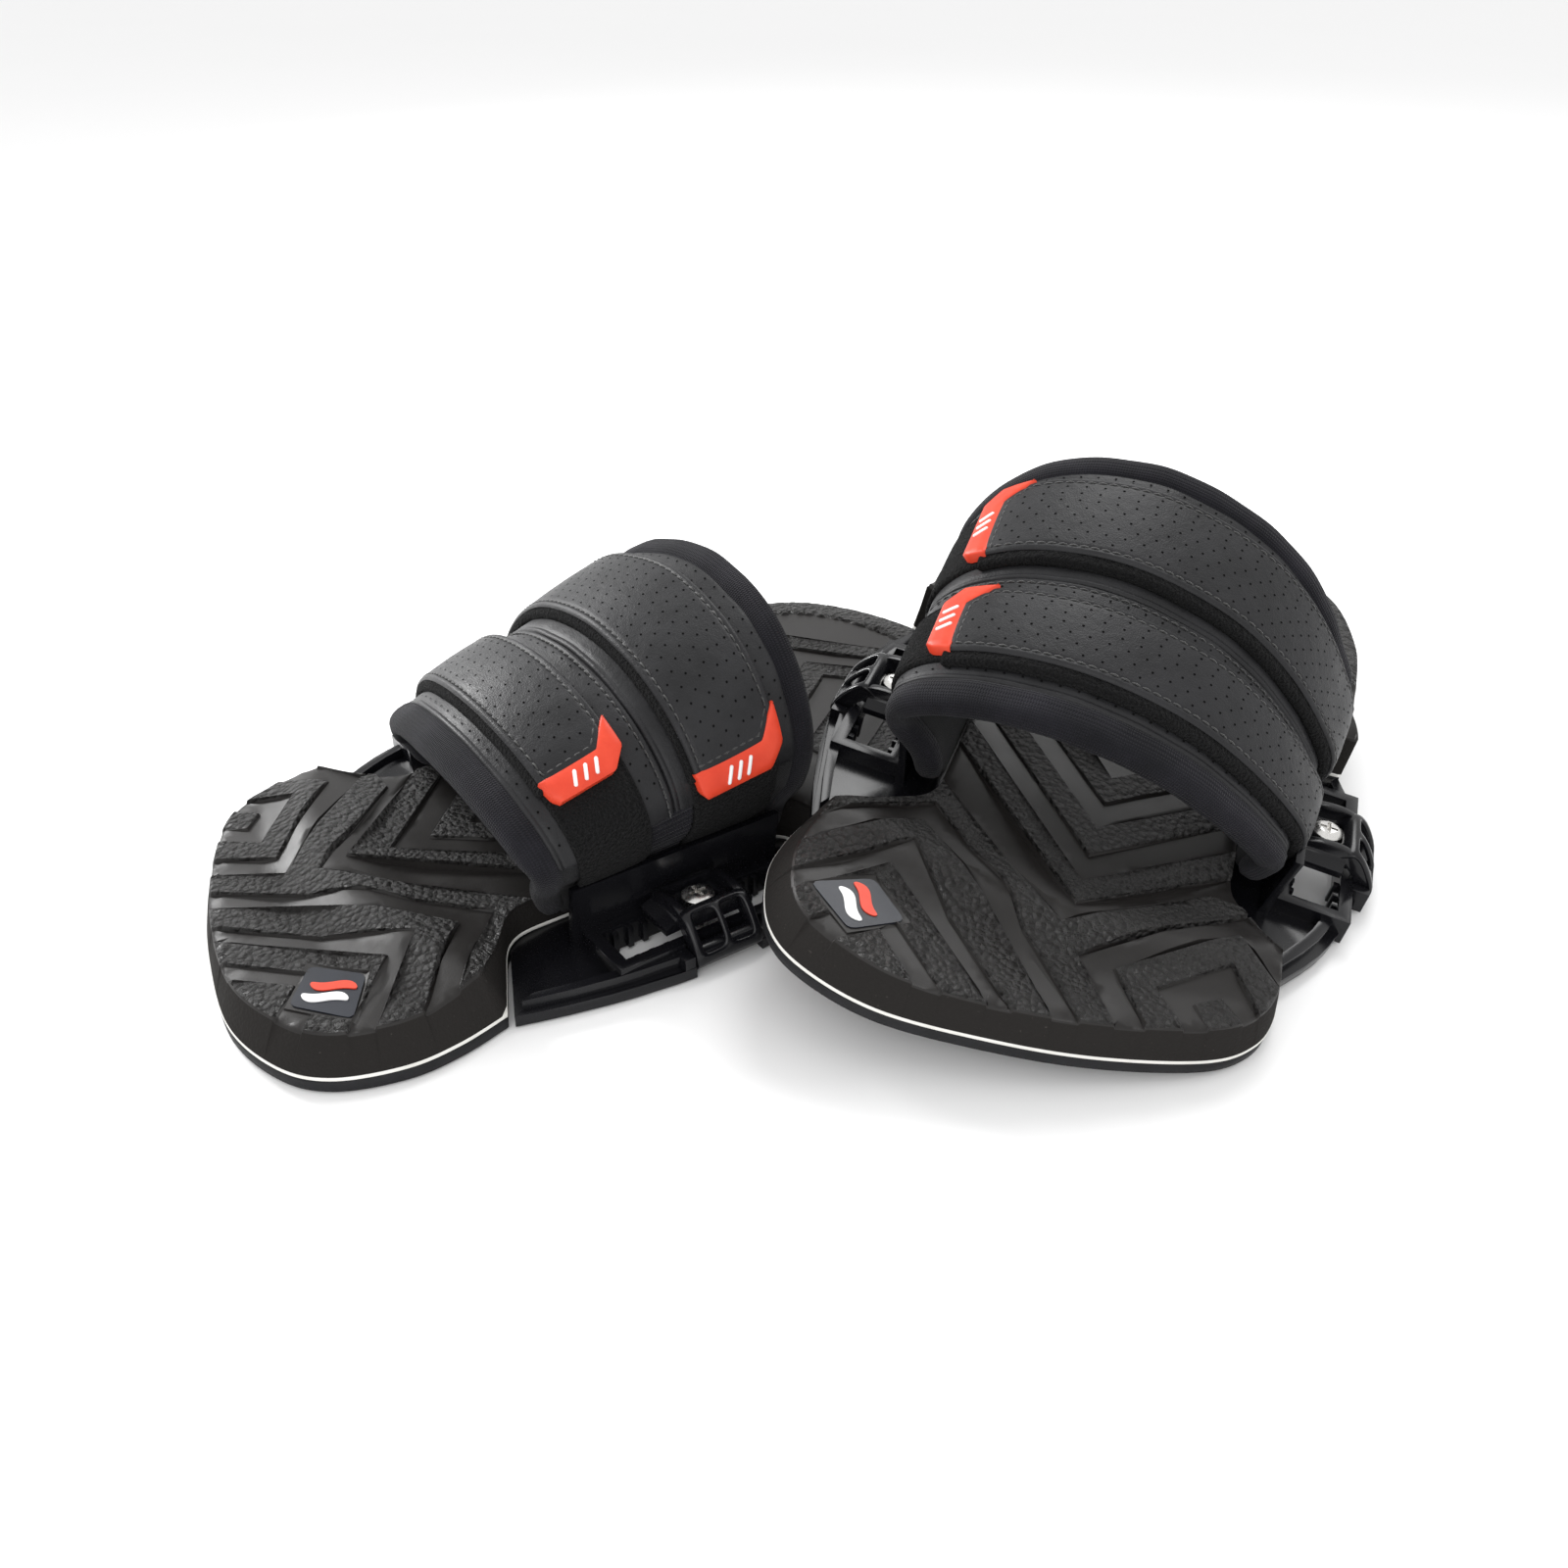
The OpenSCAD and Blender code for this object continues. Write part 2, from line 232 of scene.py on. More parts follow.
@contextmanager
def editing(mesh):
    """The mesh as a bmesh, written back at the end."""
    work = bmesh.new()
    work.from_mesh(mesh)
    yield work
    work.to_mesh(mesh)
    work.free()


def sharpen(obj, degrees):
    """Marks the edges steeper than this as sharp, so that flat faces stay crisp."""
    limit = math.radians(degrees)
    with editing(obj.data) as work:
        for e in work.edges:
            if len(e.link_faces) == 2 and e.calc_face_angle(0) > limit:
                e.smooth = False


def weld(obj, smooth=True):
    """Joins points that coincide, and makes the faces agree on which way they face."""
    with editing(obj.data) as work:
        bmesh.ops.remove_doubles(work, verts=work.verts, dist=1e-5)
        bmesh.ops.recalc_face_normals(work, faces=work.faces)
        for f in work.faces:
            f.smooth = smooth


def bake(obj):
    """Applies the object's modifiers."""
    graph = bpy.context.evaluated_depsgraph_get()
    mesh = bpy.data.meshes.new_from_object(obj.evaluated_get(graph))
    obj.modifiers.clear()
    obj.data = mesh


class Parts:
    """Collects small meshes in the plan frame, to be made into one object."""

    def __init__(self):
        self.points = []
        self.faces = []
        self.marks = []
        self.count = 0

    def add(self, points, faces, mark=0):
        self.points.append(np.asarray(points, float))
        self.faces.extend([[i + self.count for i in f] for f in faces])
        self.marks.extend([mark] * len(faces))
        self.count += len(points)

    def object(self, name, side, material):
        return new_object(
            name, np.concatenate(self.points), self.faces, side, material, marks=self.marks
        )


def ring_faces(rings, size):
    """Quads that join successive rings of the same size."""
    faces = []
    for k in range(rings - 1):
        for i in range(size):
            j = (i + 1) % size
            faces.append(
                [k * size + i, k * size + j, (k + 1) * size + j, (k + 1) * size + i]
            )
    return faces


def capped_faces(rings, size):
    """The quads between the rings, and a face over each end."""
    first = list(range(size - 1, -1, -1))
    last = list(range((rings - 1) * size, rings * size))
    return ring_faces(rings, size) + [first, last]


def tube(path, radius, sides):
    """Points and faces of a round tube along a path, with blunt ends."""
    path = np.asarray(path, float)
    tangent = np.gradient(path, axis=0)
    tangent /= np.linalg.norm(tangent, axis=1, keepdims=True)
    first = path[0] - tangent[0] * radius * 0.7
    last = path[-1] + tangent[-1] * radius * 0.7
    path = np.vstack([first, path, last])
    tangent = np.vstack([tangent[0], tangent, tangent[-1]])
    radii = np.full(len(path), float(radius))
    radii[0] = radii[-1] = radius * 0.55
    side = np.cross(tangent[0], [0, 0, 1])
    if np.linalg.norm(side) < 1e-3:
        side = np.cross(tangent[0], [0, 1, 0])
    points = []
    for p, d, r in zip(path, tangent, radii):
        side = side - d * np.dot(side, d)
        side /= np.linalg.norm(side)
        up = np.cross(d, side)
        for k in range(sides):
            a = 2 * math.pi * k / sides
            points.append(p + r * (math.cos(a) * side + math.sin(a) * up))
    return np.array(points), capped_faces(len(path), sides)


# ---------------------------------------------------------------- materials


class Nodes:
    """Short forms for building a node material."""

    def __init__(self, name):
        self.material = bpy.data.materials.new(name)
        self.material.use_nodes = True
        self.tree = self.material.node_tree
        self.shader = self.tree.nodes["Principled BSDF"]

    def add(self, kind, **inputs):
        node = self.tree.nodes.new(kind)
        for key, value in inputs.items():
            self.put(node, key, value)
        return node

    def put(self, node, key, value):
        socket = node.inputs[key.replace("_", " ")] if isinstance(key, str) else node.inputs[key]
        if isinstance(value, bpy.types.NodeSocket):
            self.tree.links.new(value, socket)
        else:
            socket.default_value = value

    def point(self):
        return self.add("ShaderNodeTexCoord").outputs["Object"]

    def uv(self):
        return self.add("ShaderNodeTexCoord").outputs["UV"]

    def noise(self, where, scale, detail=3, roughness=0.6):
        node = self.add(
            "ShaderNodeTexNoise", Vector=where, Scale=scale, Detail=detail, Roughness=roughness
        )
        return node.outputs["Fac"]

    def cells(self, where, scale):
        return self.add("ShaderNodeTexVoronoi", Vector=where, Scale=scale).outputs["Distance"]

    def math(self, operation, a, b=0.0):
        node = self.tree.nodes.new("ShaderNodeMath")
        node.operation = operation
        for k, value in enumerate((a, b)):
            self.put(node, k, value)
        return node.outputs[0]

    def ramp(self, value, low, high, first, second):
        """Maps value from low..high to first..second."""
        node = self.add(
            "ShaderNodeMapRange", Value=value, From_Min=low, From_Max=high, To_Min=first,
            To_Max=second,
        )
        return node.outputs[0]

    def colours(self, value, first, second):
        node = self.tree.nodes.new("ShaderNodeMix")
        node.data_type = "RGBA"
        self.put(node, 0, value)
        node.inputs[6].default_value = (*first, 1)
        node.inputs[7].default_value = (*second, 1)
        return node.outputs[2]

    def bump(self, height, strength, distance, normal=None):
        node = self.add("ShaderNodeBump", Height=height, Strength=strength, Distance=distance)
        if normal is not None:
            self.put(node, "Normal", normal)
        return node.outputs["Normal"]

    def set(self, **inputs):
        for key, value in inputs.items():
            if key == "Base_Color" and isinstance(value, tuple):
                value = (*value, 1)
            self.put(self.shader, key, value)
        return self.material


def leather_material():
    """Matt charcoal synthetic leather: fine pebble grain, slight shine on raised folds."""
    n = Nodes("leather")
    at = n.point()
    grain = n.cells(at, 1500)
    mottle = n.noise(at, 60, 4)
    tone = n.ramp(mottle, 0.35, 0.7, 0, 1)
    height = n.math("ADD", n.math("MULTIPLY", grain, 0.8), n.noise(at, 2600, 2))
    creases = n.bump(n.noise(at, 75, 3), 0.14, 0.004)
    return n.set(
        Base_Color=n.colours(tone, (0.011, 0.011, 0.012), (0.018, 0.018, 0.0197)),
        Roughness=n.ramp(mottle, 0.3, 0.75, 0.4, 0.52),
        Specular_IOR_Level=0.25,
        Normal=n.bump(height, 0.25, 0.00035, creases),
    )


def knit_material(name, dark, light, pitch):
    """Neoprene faced with a fine knit: rows of small loops along the UV directions."""
    n = Nodes(name)
    uv = n.add("ShaderNodeSeparateXYZ", Vector=n.uv())
    across = n.math("MULTIPLY", uv.outputs[0], 2 * math.pi / pitch)
    along = n.math("MULTIPLY", uv.outputs[1], 2 * math.pi / (pitch * 0.8))
    wale = n.math("SINE", across)
    shifted = n.math("ADD", along, n.math("MULTIPLY", wale, 1.1))
    loop = n.math("MULTIPLY", n.math("SINE", shifted), 0.5)
    height = n.math("ADD", loop, n.math("MULTIPLY", wale, 0.4))
    mottle = n.noise(n.point(), 45, 4)
    # The colour follows the loops' height as well as a random mottle: lighter on the loops' tops
    # and darker between them, painted shade in the knit's grooves.
    tone = n.math("ADD", n.ramp(mottle, 0.35, 0.7, 0, 0.6), n.math("MULTIPLY", height, 0.3))
    return n.set(
        Base_Color=n.colours(tone, dark, light),
        Roughness=0.85,
        Sheen_Weight=0.06,
        Sheen_Roughness=0.45,
        Specular_IOR_Level=0.18,
        Normal=n.bump(height, 0.6, 0.0004),
    )


def fuzzy_material():
    """Brushed loop fabric: short tangled pile."""
    n = Nodes("loop_pile")
    at = n.point()
    pile = n.noise(at, 1500, 5, 0.75)
    tuft = n.cells(at, 850)
    height = n.math("ADD", pile, tuft)
    tone = n.ramp(pile, 0.4, 0.72, 0, 1)
    return n.set(
        Base_Color=n.colours(tone, (0.001, 0.001, 0.001), (0.014, 0.014, 0.015)),
        Roughness=0.95,
        Sheen_Weight=0.04,
        Specular_IOR_Level=0.1,
        Normal=n.bump(height, 1.0, 0.0018),
    )


def foam_material(name, rough):
    """Moulded foam. The rough one has the pebbled grip of the raised bands."""
    n = Nodes(name)
    at = n.point()
    mottle = n.noise(at, 35, 4)
    tone = n.ramp(mottle, 0.35, 0.7, 0, 1)
    fine = n.noise(at, 1800, 3)
    if rough:
        pebble = n.cells(at, 430)
        lumps = n.noise(at, 560, 4, 0.7)
        height = n.math("ADD", n.math("MULTIPLY", pebble, -1.1), lumps)
        # The grip's colour runs a little lighter than the smooth foam's: painted highlight standing
        # in for the glints on its pebbles.
        return n.set(
            Base_Color=n.colours(tone, (0.0125, 0.0115, 0.011), (0.019, 0.0178, 0.017)),
            Roughness=n.ramp(lumps, 0.35, 0.65, 0.3, 0.46),
            Specular_IOR_Level=0.4,
            Normal=n.bump(height, 1.0, 0.0026),
        )
    return n.set(
        Base_Color=n.colours(tone, (0.0125, 0.0112, 0.0106), (0.0175, 0.016, 0.0152)),
        Roughness=n.ramp(mottle, 0.3, 0.7, 0.38, 0.5),
        Specular_IOR_Level=0.27,
        Normal=n.bump(fine, 0.2, 0.0003),
    )


def cut_foam_material():
    """The cut side of the foam: closed cells with a few pale specks."""
    n = Nodes("foam_cut_side")
    at = n.point()
    cell = n.cells(at, 900)
    speck = n.ramp(n.noise(at, 650, 2), 0.7, 0.78, 0, 1)
    return n.set(
        Base_Color=n.colours(speck, (0.019, 0.0175, 0.0165), (0.055, 0.05, 0.046)),
        Roughness=0.9,
        Specular_IOR_Level=0.1,
        Normal=n.bump(cell, 0.35, 0.0005),
    )


def gloss_material():
    """Polished black moulding with faint flow marks and fine dust."""
    n = Nodes("gloss_plastic")
    at = n.point()
    flow = n.noise(at, 28, 4)
    dust = n.ramp(n.noise(at, 1400, 2), 0.6, 0.8, 0, 0.12)
    return n.set(
        Base_Color=n.colours(flow, (0.004, 0.004, 0.005), (0.0068, 0.0068, 0.0085)),
        Roughness=n.math("ADD", n.ramp(flow, 0.3, 0.7, 0.17, 0.27), dust),
        Specular_IOR_Level=0.3,
        Normal=n.bump(flow, 0.08, 0.001),
    )


def steel_material():
    n = Nodes("screw_steel")
    at = n.point()
    brushed = n.noise(at, 700, 3)
    return n.set(
        Base_Color=n.colours(brushed, (0.62, 0.61, 0.59), (0.78, 0.77, 0.75)),
        Metallic=1.0,
        Roughness=n.ramp(brushed, 0.3, 0.7, 0.2, 0.34),
        Normal=n.bump(brushed, 0.12, 0.0002),
    )


def moulded_material(name, first, second, roughness=0.42):
    """Soft moulded plastic with a light grain."""
    n = Nodes(name)
    at = n.point()
    tone = n.noise(at, 90, 4)
    grain = n.noise(at, 2200, 2)
    return n.set(
        Base_Color=n.colours(n.ramp(tone, 0.35, 0.7, 0, 1), first, second),
        Roughness=n.ramp(grain, 0.3, 0.7, roughness - 0.05, roughness + 0.06),
        Specular_IOR_Level=0.3,
        Normal=n.bump(grain, 0.12, 0.0002),
    )


def grained_material(name, scale, first, second, strength, **inputs):
    """A material whose colour and bump both follow one fine noise."""
    n = Nodes(name)
    grain = n.noise(n.point(), scale, 2)
    return n.set(
        Base_Color=n.colours(grain, first, second),
        Normal=n.bump(grain, strength, 0.0003),
        **inputs,
    )


LEATHER = leather_material()
KNIT = knit_material("knit_neoprene", (0.006, 0.006, 0.008), (0.019, 0.018, 0.024), 1.15)
SMOOTH_NEOPRENE = knit_material(
    "smooth_neoprene", (0.008, 0.008, 0.009), (0.014, 0.014, 0.016), 0.7
)
PILE = fuzzy_material()
FOAM_SMOOTH = foam_material("foam_smooth", False)
FOAM_ROUGH = foam_material("foam_grip", True)
FOAM_CUT = cut_foam_material()
GLOSS = gloss_material()
STEEL = steel_material()
RUBBER = moulded_material("base_rubber", (0.004, 0.004, 0.005), (0.009, 0.009, 0.011), 0.6)
WHITE = moulded_material("laminate_edge", (0.72, 0.71, 0.67), (0.82, 0.81, 0.78), 0.5)
RED = moulded_material("red_moulding", (0.62, 0.045, 0.018), (0.70, 0.062, 0.026))
PALE = moulded_material("white_moulding", (0.78, 0.78, 0.78), (0.86, 0.86, 0.86))
LABEL = moulded_material("label_blue_black", (0.010, 0.012, 0.018), (0.015, 0.018, 0.026), 0.38)
THREAD = grained_material(
    "stitch_thread", 3000, (0.006, 0.006, 0.006), (0.045, 0.044, 0.043), 0.4, Roughness=0.7,
    Sheen_Weight=0.3,
)
# The perforation discs are near black: painted shade of the holes, partly the dark padding seen
# through them.
HOLE_SHADE = grained_material(
    "perforation_painted_shade", 2500, (0.002, 0.002, 0.002), (0.006, 0.006, 0.006), 0.2, Roughness=1.0,
    Specular_IOR_Level=0.05,
)


# ---------------------------------------------------------------- foot pad

SOLE_TOP = 5
FOAM_BASE = 6.5
TOE_TOP = 18
RIDGE_TOP = 24
BED_TOP = 18
HEEL_TOP = 29.5
HEEL_DISH = 5
DISH_RADIUS = 400
DISH_Y = -112
TOE = [
    [-89, 77], [-93, 95], [-93, 113], [-85, 134], [-70, 146], [-43, 152], [-8, 147], [24, 138],
    [56, 123], [70, 109], [75, 93], [74, 77],
]
HEEL = [
    [90, -56], [91, -85], [89, -122], [75, -158], [40, -180], [-5, -187], [-52, -177],
    [-80, -151], [-90, -115], [-92, -85], [-91, -60],
]
NOTCH_LATERAL = [[74, 77], [58, 60], [52.5, 52], [52.5, -50], [58, -54], [80, -55], [90, -56]]
NOTCH_MEDIAL = [
    [-91, -60], [-80, -59], [-58, -57], [-52.5, -51], [-52.5, 54], [-58, 62], [-89, 77],
]

# Raised grip bands of the toe area and the foot bed, in plan.
GRIP = [
    [
        (-67, 146), (-51, 131), (-33, 150), (-33, 156), (-44, 156), (-52, 145.5), (-60, 154),
        (-70, 154),
    ],
    [
        (-22, 156), (-23, 150), (-54, 119), (-79, 143), (-92, 143), (-92, 136), (-56, 102),
        (-8, 149), (-6, 156),
    ],
    [
        (4, 154), (-1, 147), (-32, 116), (-52, 90), (-95, 127), (-95, 110), (-52, 75), (-24, 104),
        (11, 145), (18, 152),
    ],
    [
        (25, 149), (19, 142), (-9, 111), (-20, 94), (-33, 82), (-51, 62), (-95, 99), (-95, 83),
        (-52, 47), (-20, 82), (1, 103), (46, 60), (60, 60), (58, 66), (9, 112), (28, 138),
        (34, 145),
    ],
    [(4, 92), (58, 40), (58, 25), (4, 76), (-56, 2), (-56, 18)],
    [(4, 61), (58, 9), (58, -7), (4, 45), (-56, -29), (-56, -13)],
    [(4, 30), (58, -22), (58, -38), (4, 14), (-56, -60), (-56, -44)],
    [(4, -1), (52, -48), (36, -48), (4, -17), (-22, -48), (-38, -48)],
    [
        (37, 134), (21, 112), (57, 79), (84, 105), (80, 112), (68, 109), (56, 93.5), (35, 113),
        (52, 133), (45, 142),
    ],
    [(54, 123), (47, 114), (55, 107), (72, 122), (66, 130)],
    [(59, 65), (74, 81), (88, 81), (88, 60), (62, 60)],
]
# The label's corners.
BADGE = [[-59, 110.5], [-44.5, 124], [-59.5, 136], [-77, 122]]
# Arrowheads of the heel, which point to the outside: apex x, with arms to both sides.
HEEL_APEX_Y = -125
HEEL_APEXES = (-75, -46, -17, 12, 41)
HEEL_BAND = 14
GRIP_HEIGHT = 1.15
STEP_HALF = 0.3
# The heel behind this line has the arrowheads, inside a rough strip along its rim.
HEEL_LINE = -60
RIM_WIDTH = 12
RIM_FRONT = -84
CORE_INSET = 24
FOAM_GRID = 3.0
FILM_GRID = 2.5
PLATE_GRID = 2.4


def rounded(points, radius, steps=5):
    """The polyline with each inner corner replaced by a small curve."""
    p = np.asarray(points, float)
    out = [p[0]]
    for before, corner, after in zip(p[:-2], p[1:-1], p[2:]):
        a = corner + (before - corner) * min(0.45, radius / np.linalg.norm(before - corner))
        b = corner + (after - corner) * min(0.45, radius / np.linalg.norm(after - corner))
        for s in np.linspace(0, 1, steps):
            out.append((1 - s) ** 2 * a + 2 * s * (1 - s) * corner + s**2 * b)
    out.append(p[-1])
    return np.array(out)


def spaced(points, step):
    """The closed polyline with points at even spacing."""
    p = np.vstack([points, points[:1]])
    d = distances(p)
    s = np.linspace(0, d[-1], int(d[-1] / step) + 1)[:-1]
    return np.stack([np.interp(s, d, p[:, 0]), np.interp(s, d, p[:, 1])], 1)


def pad_outline(step=2.0):
    notch_lateral = rounded(NOTCH_LATERAL, 7)[1:-1]
    notch_medial = rounded(NOTCH_MEDIAL, 7)[1:-1]
    line = np.vstack([smooth_line(TOE, 12), notch_lateral, smooth_line(HEEL, 12), notch_medial])
    return spaced(line, step)


def signed_area(line):
    """Twice the area inside a closed line, positive where it runs anticlockwise."""
    x, y = line[:, 0], line[:, 1]
    return np.sum(x * np.roll(y, -1) - np.roll(x, -1) * y)


def inward(line, distance):
    """A closed clockwise or anticlockwise line moved inwards by a distance at each point."""
    d = np.broadcast_to(np.asarray(distance, float), (len(line),))
    tangent = np.roll(line, -1, 0) - np.roll(line, 1, 0)
    tangent /= np.linalg.norm(tangent, axis=1, keepdims=True)
    turn = math.copysign(1, signed_area(line))
    normal = np.stack([-tangent[:, 1], tangent[:, 0]], 1) * turn
    return line + normal * d[:, None]


def inside(points, polygon):
    """Which points lie inside the polygon."""
    p = np.asarray(points, float)
    q = np.asarray(polygon, float)
    hit = np.zeros(len(p), bool)
    for a, b in zip(q, np.roll(q, -1, 0)):
        if a[1] == b[1]:
            continue
        crosses = (a[1] > p[:, 1]) != (b[1] > p[:, 1])
        x = a[0] + (p[:, 1] - a[1]) * (b[0] - a[0]) / (b[1] - a[1])
        hit ^= crosses & (p[:, 0] < x)
    return hit


def loop_edges(size, start=0):
    """The edges of a closed line whose points are numbered from start."""
    return [(start + i, start + (i + 1) % size) for i in range(size)]


def grid_within(border, low, high, step):
    """The points of a square grid from low to high that lie inside a border."""
    x, y = np.meshgrid(np.arange(low[0], high[0], step), np.arange(low[1], high[1], step))
    grid = np.stack([x.ravel(), y.ravel()], 1)
    return grid[inside(grid, border)]


def triangulate(points, edges, border, tolerance=1e-6):
    """Plan points and the triangles between them that lie inside a border."""
    verts, _, tris, _, _, _ = delaunay_2d_cdt(
        [Vector(p) for p in points], edges, [], 0, tolerance
    )
    flat = np.array([(p.x, p.y) for p in verts])
    tris = np.array(tris)
    return flat, tris[inside(flat[tris].mean(axis=1), border)]


def upward(flat, tris):
    """The triangles, each turned anticlockwise in plan."""
    a, b, c = flat[tris[:, 0]], flat[tris[:, 1]], flat[tris[:, 2]]
    turn = (b - a)[:, 0] * (c - a)[:, 1] - (b - a)[:, 1] * (c - a)[:, 0]
    tris[turn < 0] = tris[turn < 0][:, ::-1]
    return tris


def filled(border, line, inset, step):
    """Points and triangles that fill a border, with a grid that keeps inset from a line."""
    grid = grid_within(inward(line, inset), line.min(axis=0), line.max(axis=0), step)
    return triangulate(np.vstack([border, grid]), loop_edges(len(border)), border)


def flare(line):
    """How far the top edge of the foam stands in from its base."""
    x, y = line[:, 0], line[:, 1]
    toe = ease(y, 62, 80) * (2.6 + 4.6 * ease(-x, 10, 80))
    heel = ease(-y, 56, 70) * 5
    return 0.4 + toe + heel


def heel_grip():
    """Raised bands of the heel: nested arrowheads."""
    bands = []
    for x in HEEL_APEXES:
        a = HEEL_APEX_Y
        b = HEEL_BAND
        bands.append(
            [(x, a), (x - 32, a + 44), (x - 32 + b, a + 44), (x + b, a), (x + b - 44, a - 36),
             (x - 44, a - 36)]
        )
    return bands


def surface_height(x, y):
    """Height of the foam's top without its raised bands."""
    rows = [-200, -72, -64, -56, -50, -44, 62, 76, 85, 91, 97, 103, 110, 118, 170]
    rise = [
        HEEL_TOP, HEEL_TOP, HEEL_TOP - 1.2, HEEL_TOP - 4.5, BED_TOP + 2, BED_TOP, BED_TOP,
        BED_TOP + 0.6, BED_TOP + 2.6, RIDGE_TOP - 1.8, RIDGE_TOP - 0.4, RIDGE_TOP - 1.2,
        TOE_TOP + 2.2, TOE_TOP + 0.3, TOE_TOP,
    ]
    # the ridge bows towards the heel at both ends, and is lower there
    bowed = y + 0.0030 * (x + 8) ** 2 * ease(y, 60, 80)
    z = np.interp(bowed, rows, rise)
    fade = ease(np.abs(x + 5), 45, 95) * 0.5 * ease(bowed, 64, 84) * (1 - ease(bowed, 104, 118))
    z = z - fade * np.maximum(z - TOE_TOP, 0)
    dish = HEEL_TOP - HEEL_DISH + (x**2 + (y - DISH_Y) ** 2) / (2 * DISH_RADIUS)
    return np.where(y < HEEL_LINE, np.minimum(z, dish), z)


def label_flat(p):
    """Height of the tilted flat under the label."""
    corners = np.array(BADGE)
    heights = surface_height(corners[:, 0], corners[:, 1])
    sides = np.column_stack([corners, np.ones(len(corners))])
    tilt = np.linalg.lstsq(sides, heights, rcond=None)[0]
    return p[:, :2] @ tilt[:2] + tilt[2]


def offset_band(band, distance):
    """The band's outline moved outwards by a distance, with mitred corners."""
    p = np.asarray(band, float)
    if signed_area(p) < 0:
        p = p[::-1]
    before = p - np.roll(p, 1, 0)
    after = np.roll(p, -1, 0) - p
    n1 = np.stack([before[:, 1], -before[:, 0]], 1) / np.linalg.norm(before, axis=1)[:, None]
    n2 = np.stack([after[:, 1], -after[:, 0]], 1) / np.linalg.norm(after, axis=1)[:, None]
    m = n1 + n2
    m /= np.maximum(np.sum(m * n1, axis=1), 0.3)[:, None]
    return p + m * distance


def longest_border(faces):
    """The longest open border of the faces, as point numbers in order."""
    directed = set()
    for f in faces:
        directed.update(zip(f, f[1:] + f[:1]))
    follow = {}
    for a, b in sorted(directed):
        if (b, a) not in directed:
            follow.setdefault(a, []).append(b)
    best = []
    while follow:
        start = min(follow)
        walk = [start]
        while walk[-1] in follow:
            here = walk[-1]
            walk.append(follow[here].pop())
            if not follow[here]:
                del follow[here]
            if walk[-1] == start:
                break
        if len(walk) > len(best):
            best = walk
    return best[:-1]


def foam_shape():
    """Points, faces and material marks of one foam pad."""
    base = pad_outline()
    top = inward(base, flare(base))
    shoulder = inward(base, flare(base) + 1.1)
    bands = GRIP + heel_grip()
    rim_outer = inward(base, flare(base) + RIM_WIDTH)
    heel_core = inward(base, flare(base) + CORE_INSET)

    points = []
    edges = []

    def loop(line):
        edges.extend(loop_edges(len(line), len(points)))
        points.extend(line)

    loop(top)
    loop(shoulder)
    recess = offset_band(BADGE, 1.2)
    loop(recess)
    loop(offset_band(BADGE, 1.5))
    for band in bands:
        loop(offset_band(band, STEP_HALF))
        loop(offset_band(band, -STEP_HALF))
    behind = rim_outer[:, 1] < RIM_FRONT
    rim_inner = inward(base, flare(base) + 12.6)
    for line in (rim_outer[behind], rim_inner[behind]):
        start = len(points)
        points.extend(line)
        edges.extend([(start + i, start + i + 1) for i in range(len(line) - 1)])
    within = inward(base, flare(base) + 2)
    points.extend(grid_within(within, (-100, -190), (100, 156), FOAM_GRID))
    flat, tris = triangulate(points, edges, top, 1e-5)

    def raised(p):
        """1 on the raised bands, 0 between them, and half way under the label."""
        up = np.zeros(len(p), bool)
        core = inside(p, heel_core) | (p[:, 1] > HEEL_LINE)
        for k, band in enumerate(bands):
            hit = inside(p, band)
            if k >= len(GRIP):
                hit &= core & (p[:, 1] < HEEL_LINE)
            up |= hit
        up |= (~inside(p, rim_outer)) & (p[:, 1] < RIM_FRONT - 2)
        return np.where(inside(p, recess), 0.5, up)

    up = raised(flat)
    edge_drop = np.where(inside(flat, shoulder), 0.0, 0.7)
    z = surface_height(flat[:, 0], flat[:, 1]) + GRIP_HEIGHT * (up - 0.5) - edge_drop
    z = np.where(inside(flat, recess), label_flat(flat), z)
    used = np.unique(tris)
    remap = -np.ones(len(flat), int)
    remap[used] = np.arange(len(used))
    flat = flat[used]
    top_points = np.column_stack([flat, z[used]])
    tris = upward(flat, remap[tris])
    rough = raised(flat[tris].mean(axis=1))
    faces = [list(t) for t in tris]
    marks = [1 if r > 0.6 else 0 for r in rough]

    # the side wall hangs from the open border of the top
    border = longest_border(faces)
    line = top_points[border]
    index = [int(np.argmin(np.sum((top - p[:2]) ** 2, axis=1))) for p in line]
    target = base[index]
    rings = []
    for share in (0.06, 0.5, 1.0):
        flat_part = line[:, :2] + (target - line[:, :2]) * share**0.85
        height = line[:, 2] + (FOAM_BASE - line[:, 2]) * share
        rings.append(np.column_stack([flat_part, height]))
    n = len(border)
    offset = len(top_points)
    previous = border
    for k in range(len(rings)):
        current = [offset + k * n + i for i in range(n)]
        for i in range(n):
            j = (i + 1) % n
            faces.append([previous[i], current[i], current[j], previous[j]])
            marks.append(0 if k == 0 else 2)
        previous = current
    faces.append(list(reversed(previous)))
    marks.append(2)
    return np.vstack([top_points] + rings), faces, marks


def slab(low, high, bevel, grow=0.0):
    """Points and faces of a flat layer with the pad's outline and softened edges."""
    base = pad_outline()
    rings = [
        (bevel - grow, low), (-grow, low + bevel), (-grow, high - bevel), (bevel - grow, high),
    ]
    points = np.vstack(
        [np.column_stack([inward(base, inset), np.full(len(base), z)]) for inset, z in rings]
    )
    faces = capped_faces(len(rings), len(base))
    if signed_area(base) <= 0:
        faces = [f[::-1] for f in faces]
    return points, faces


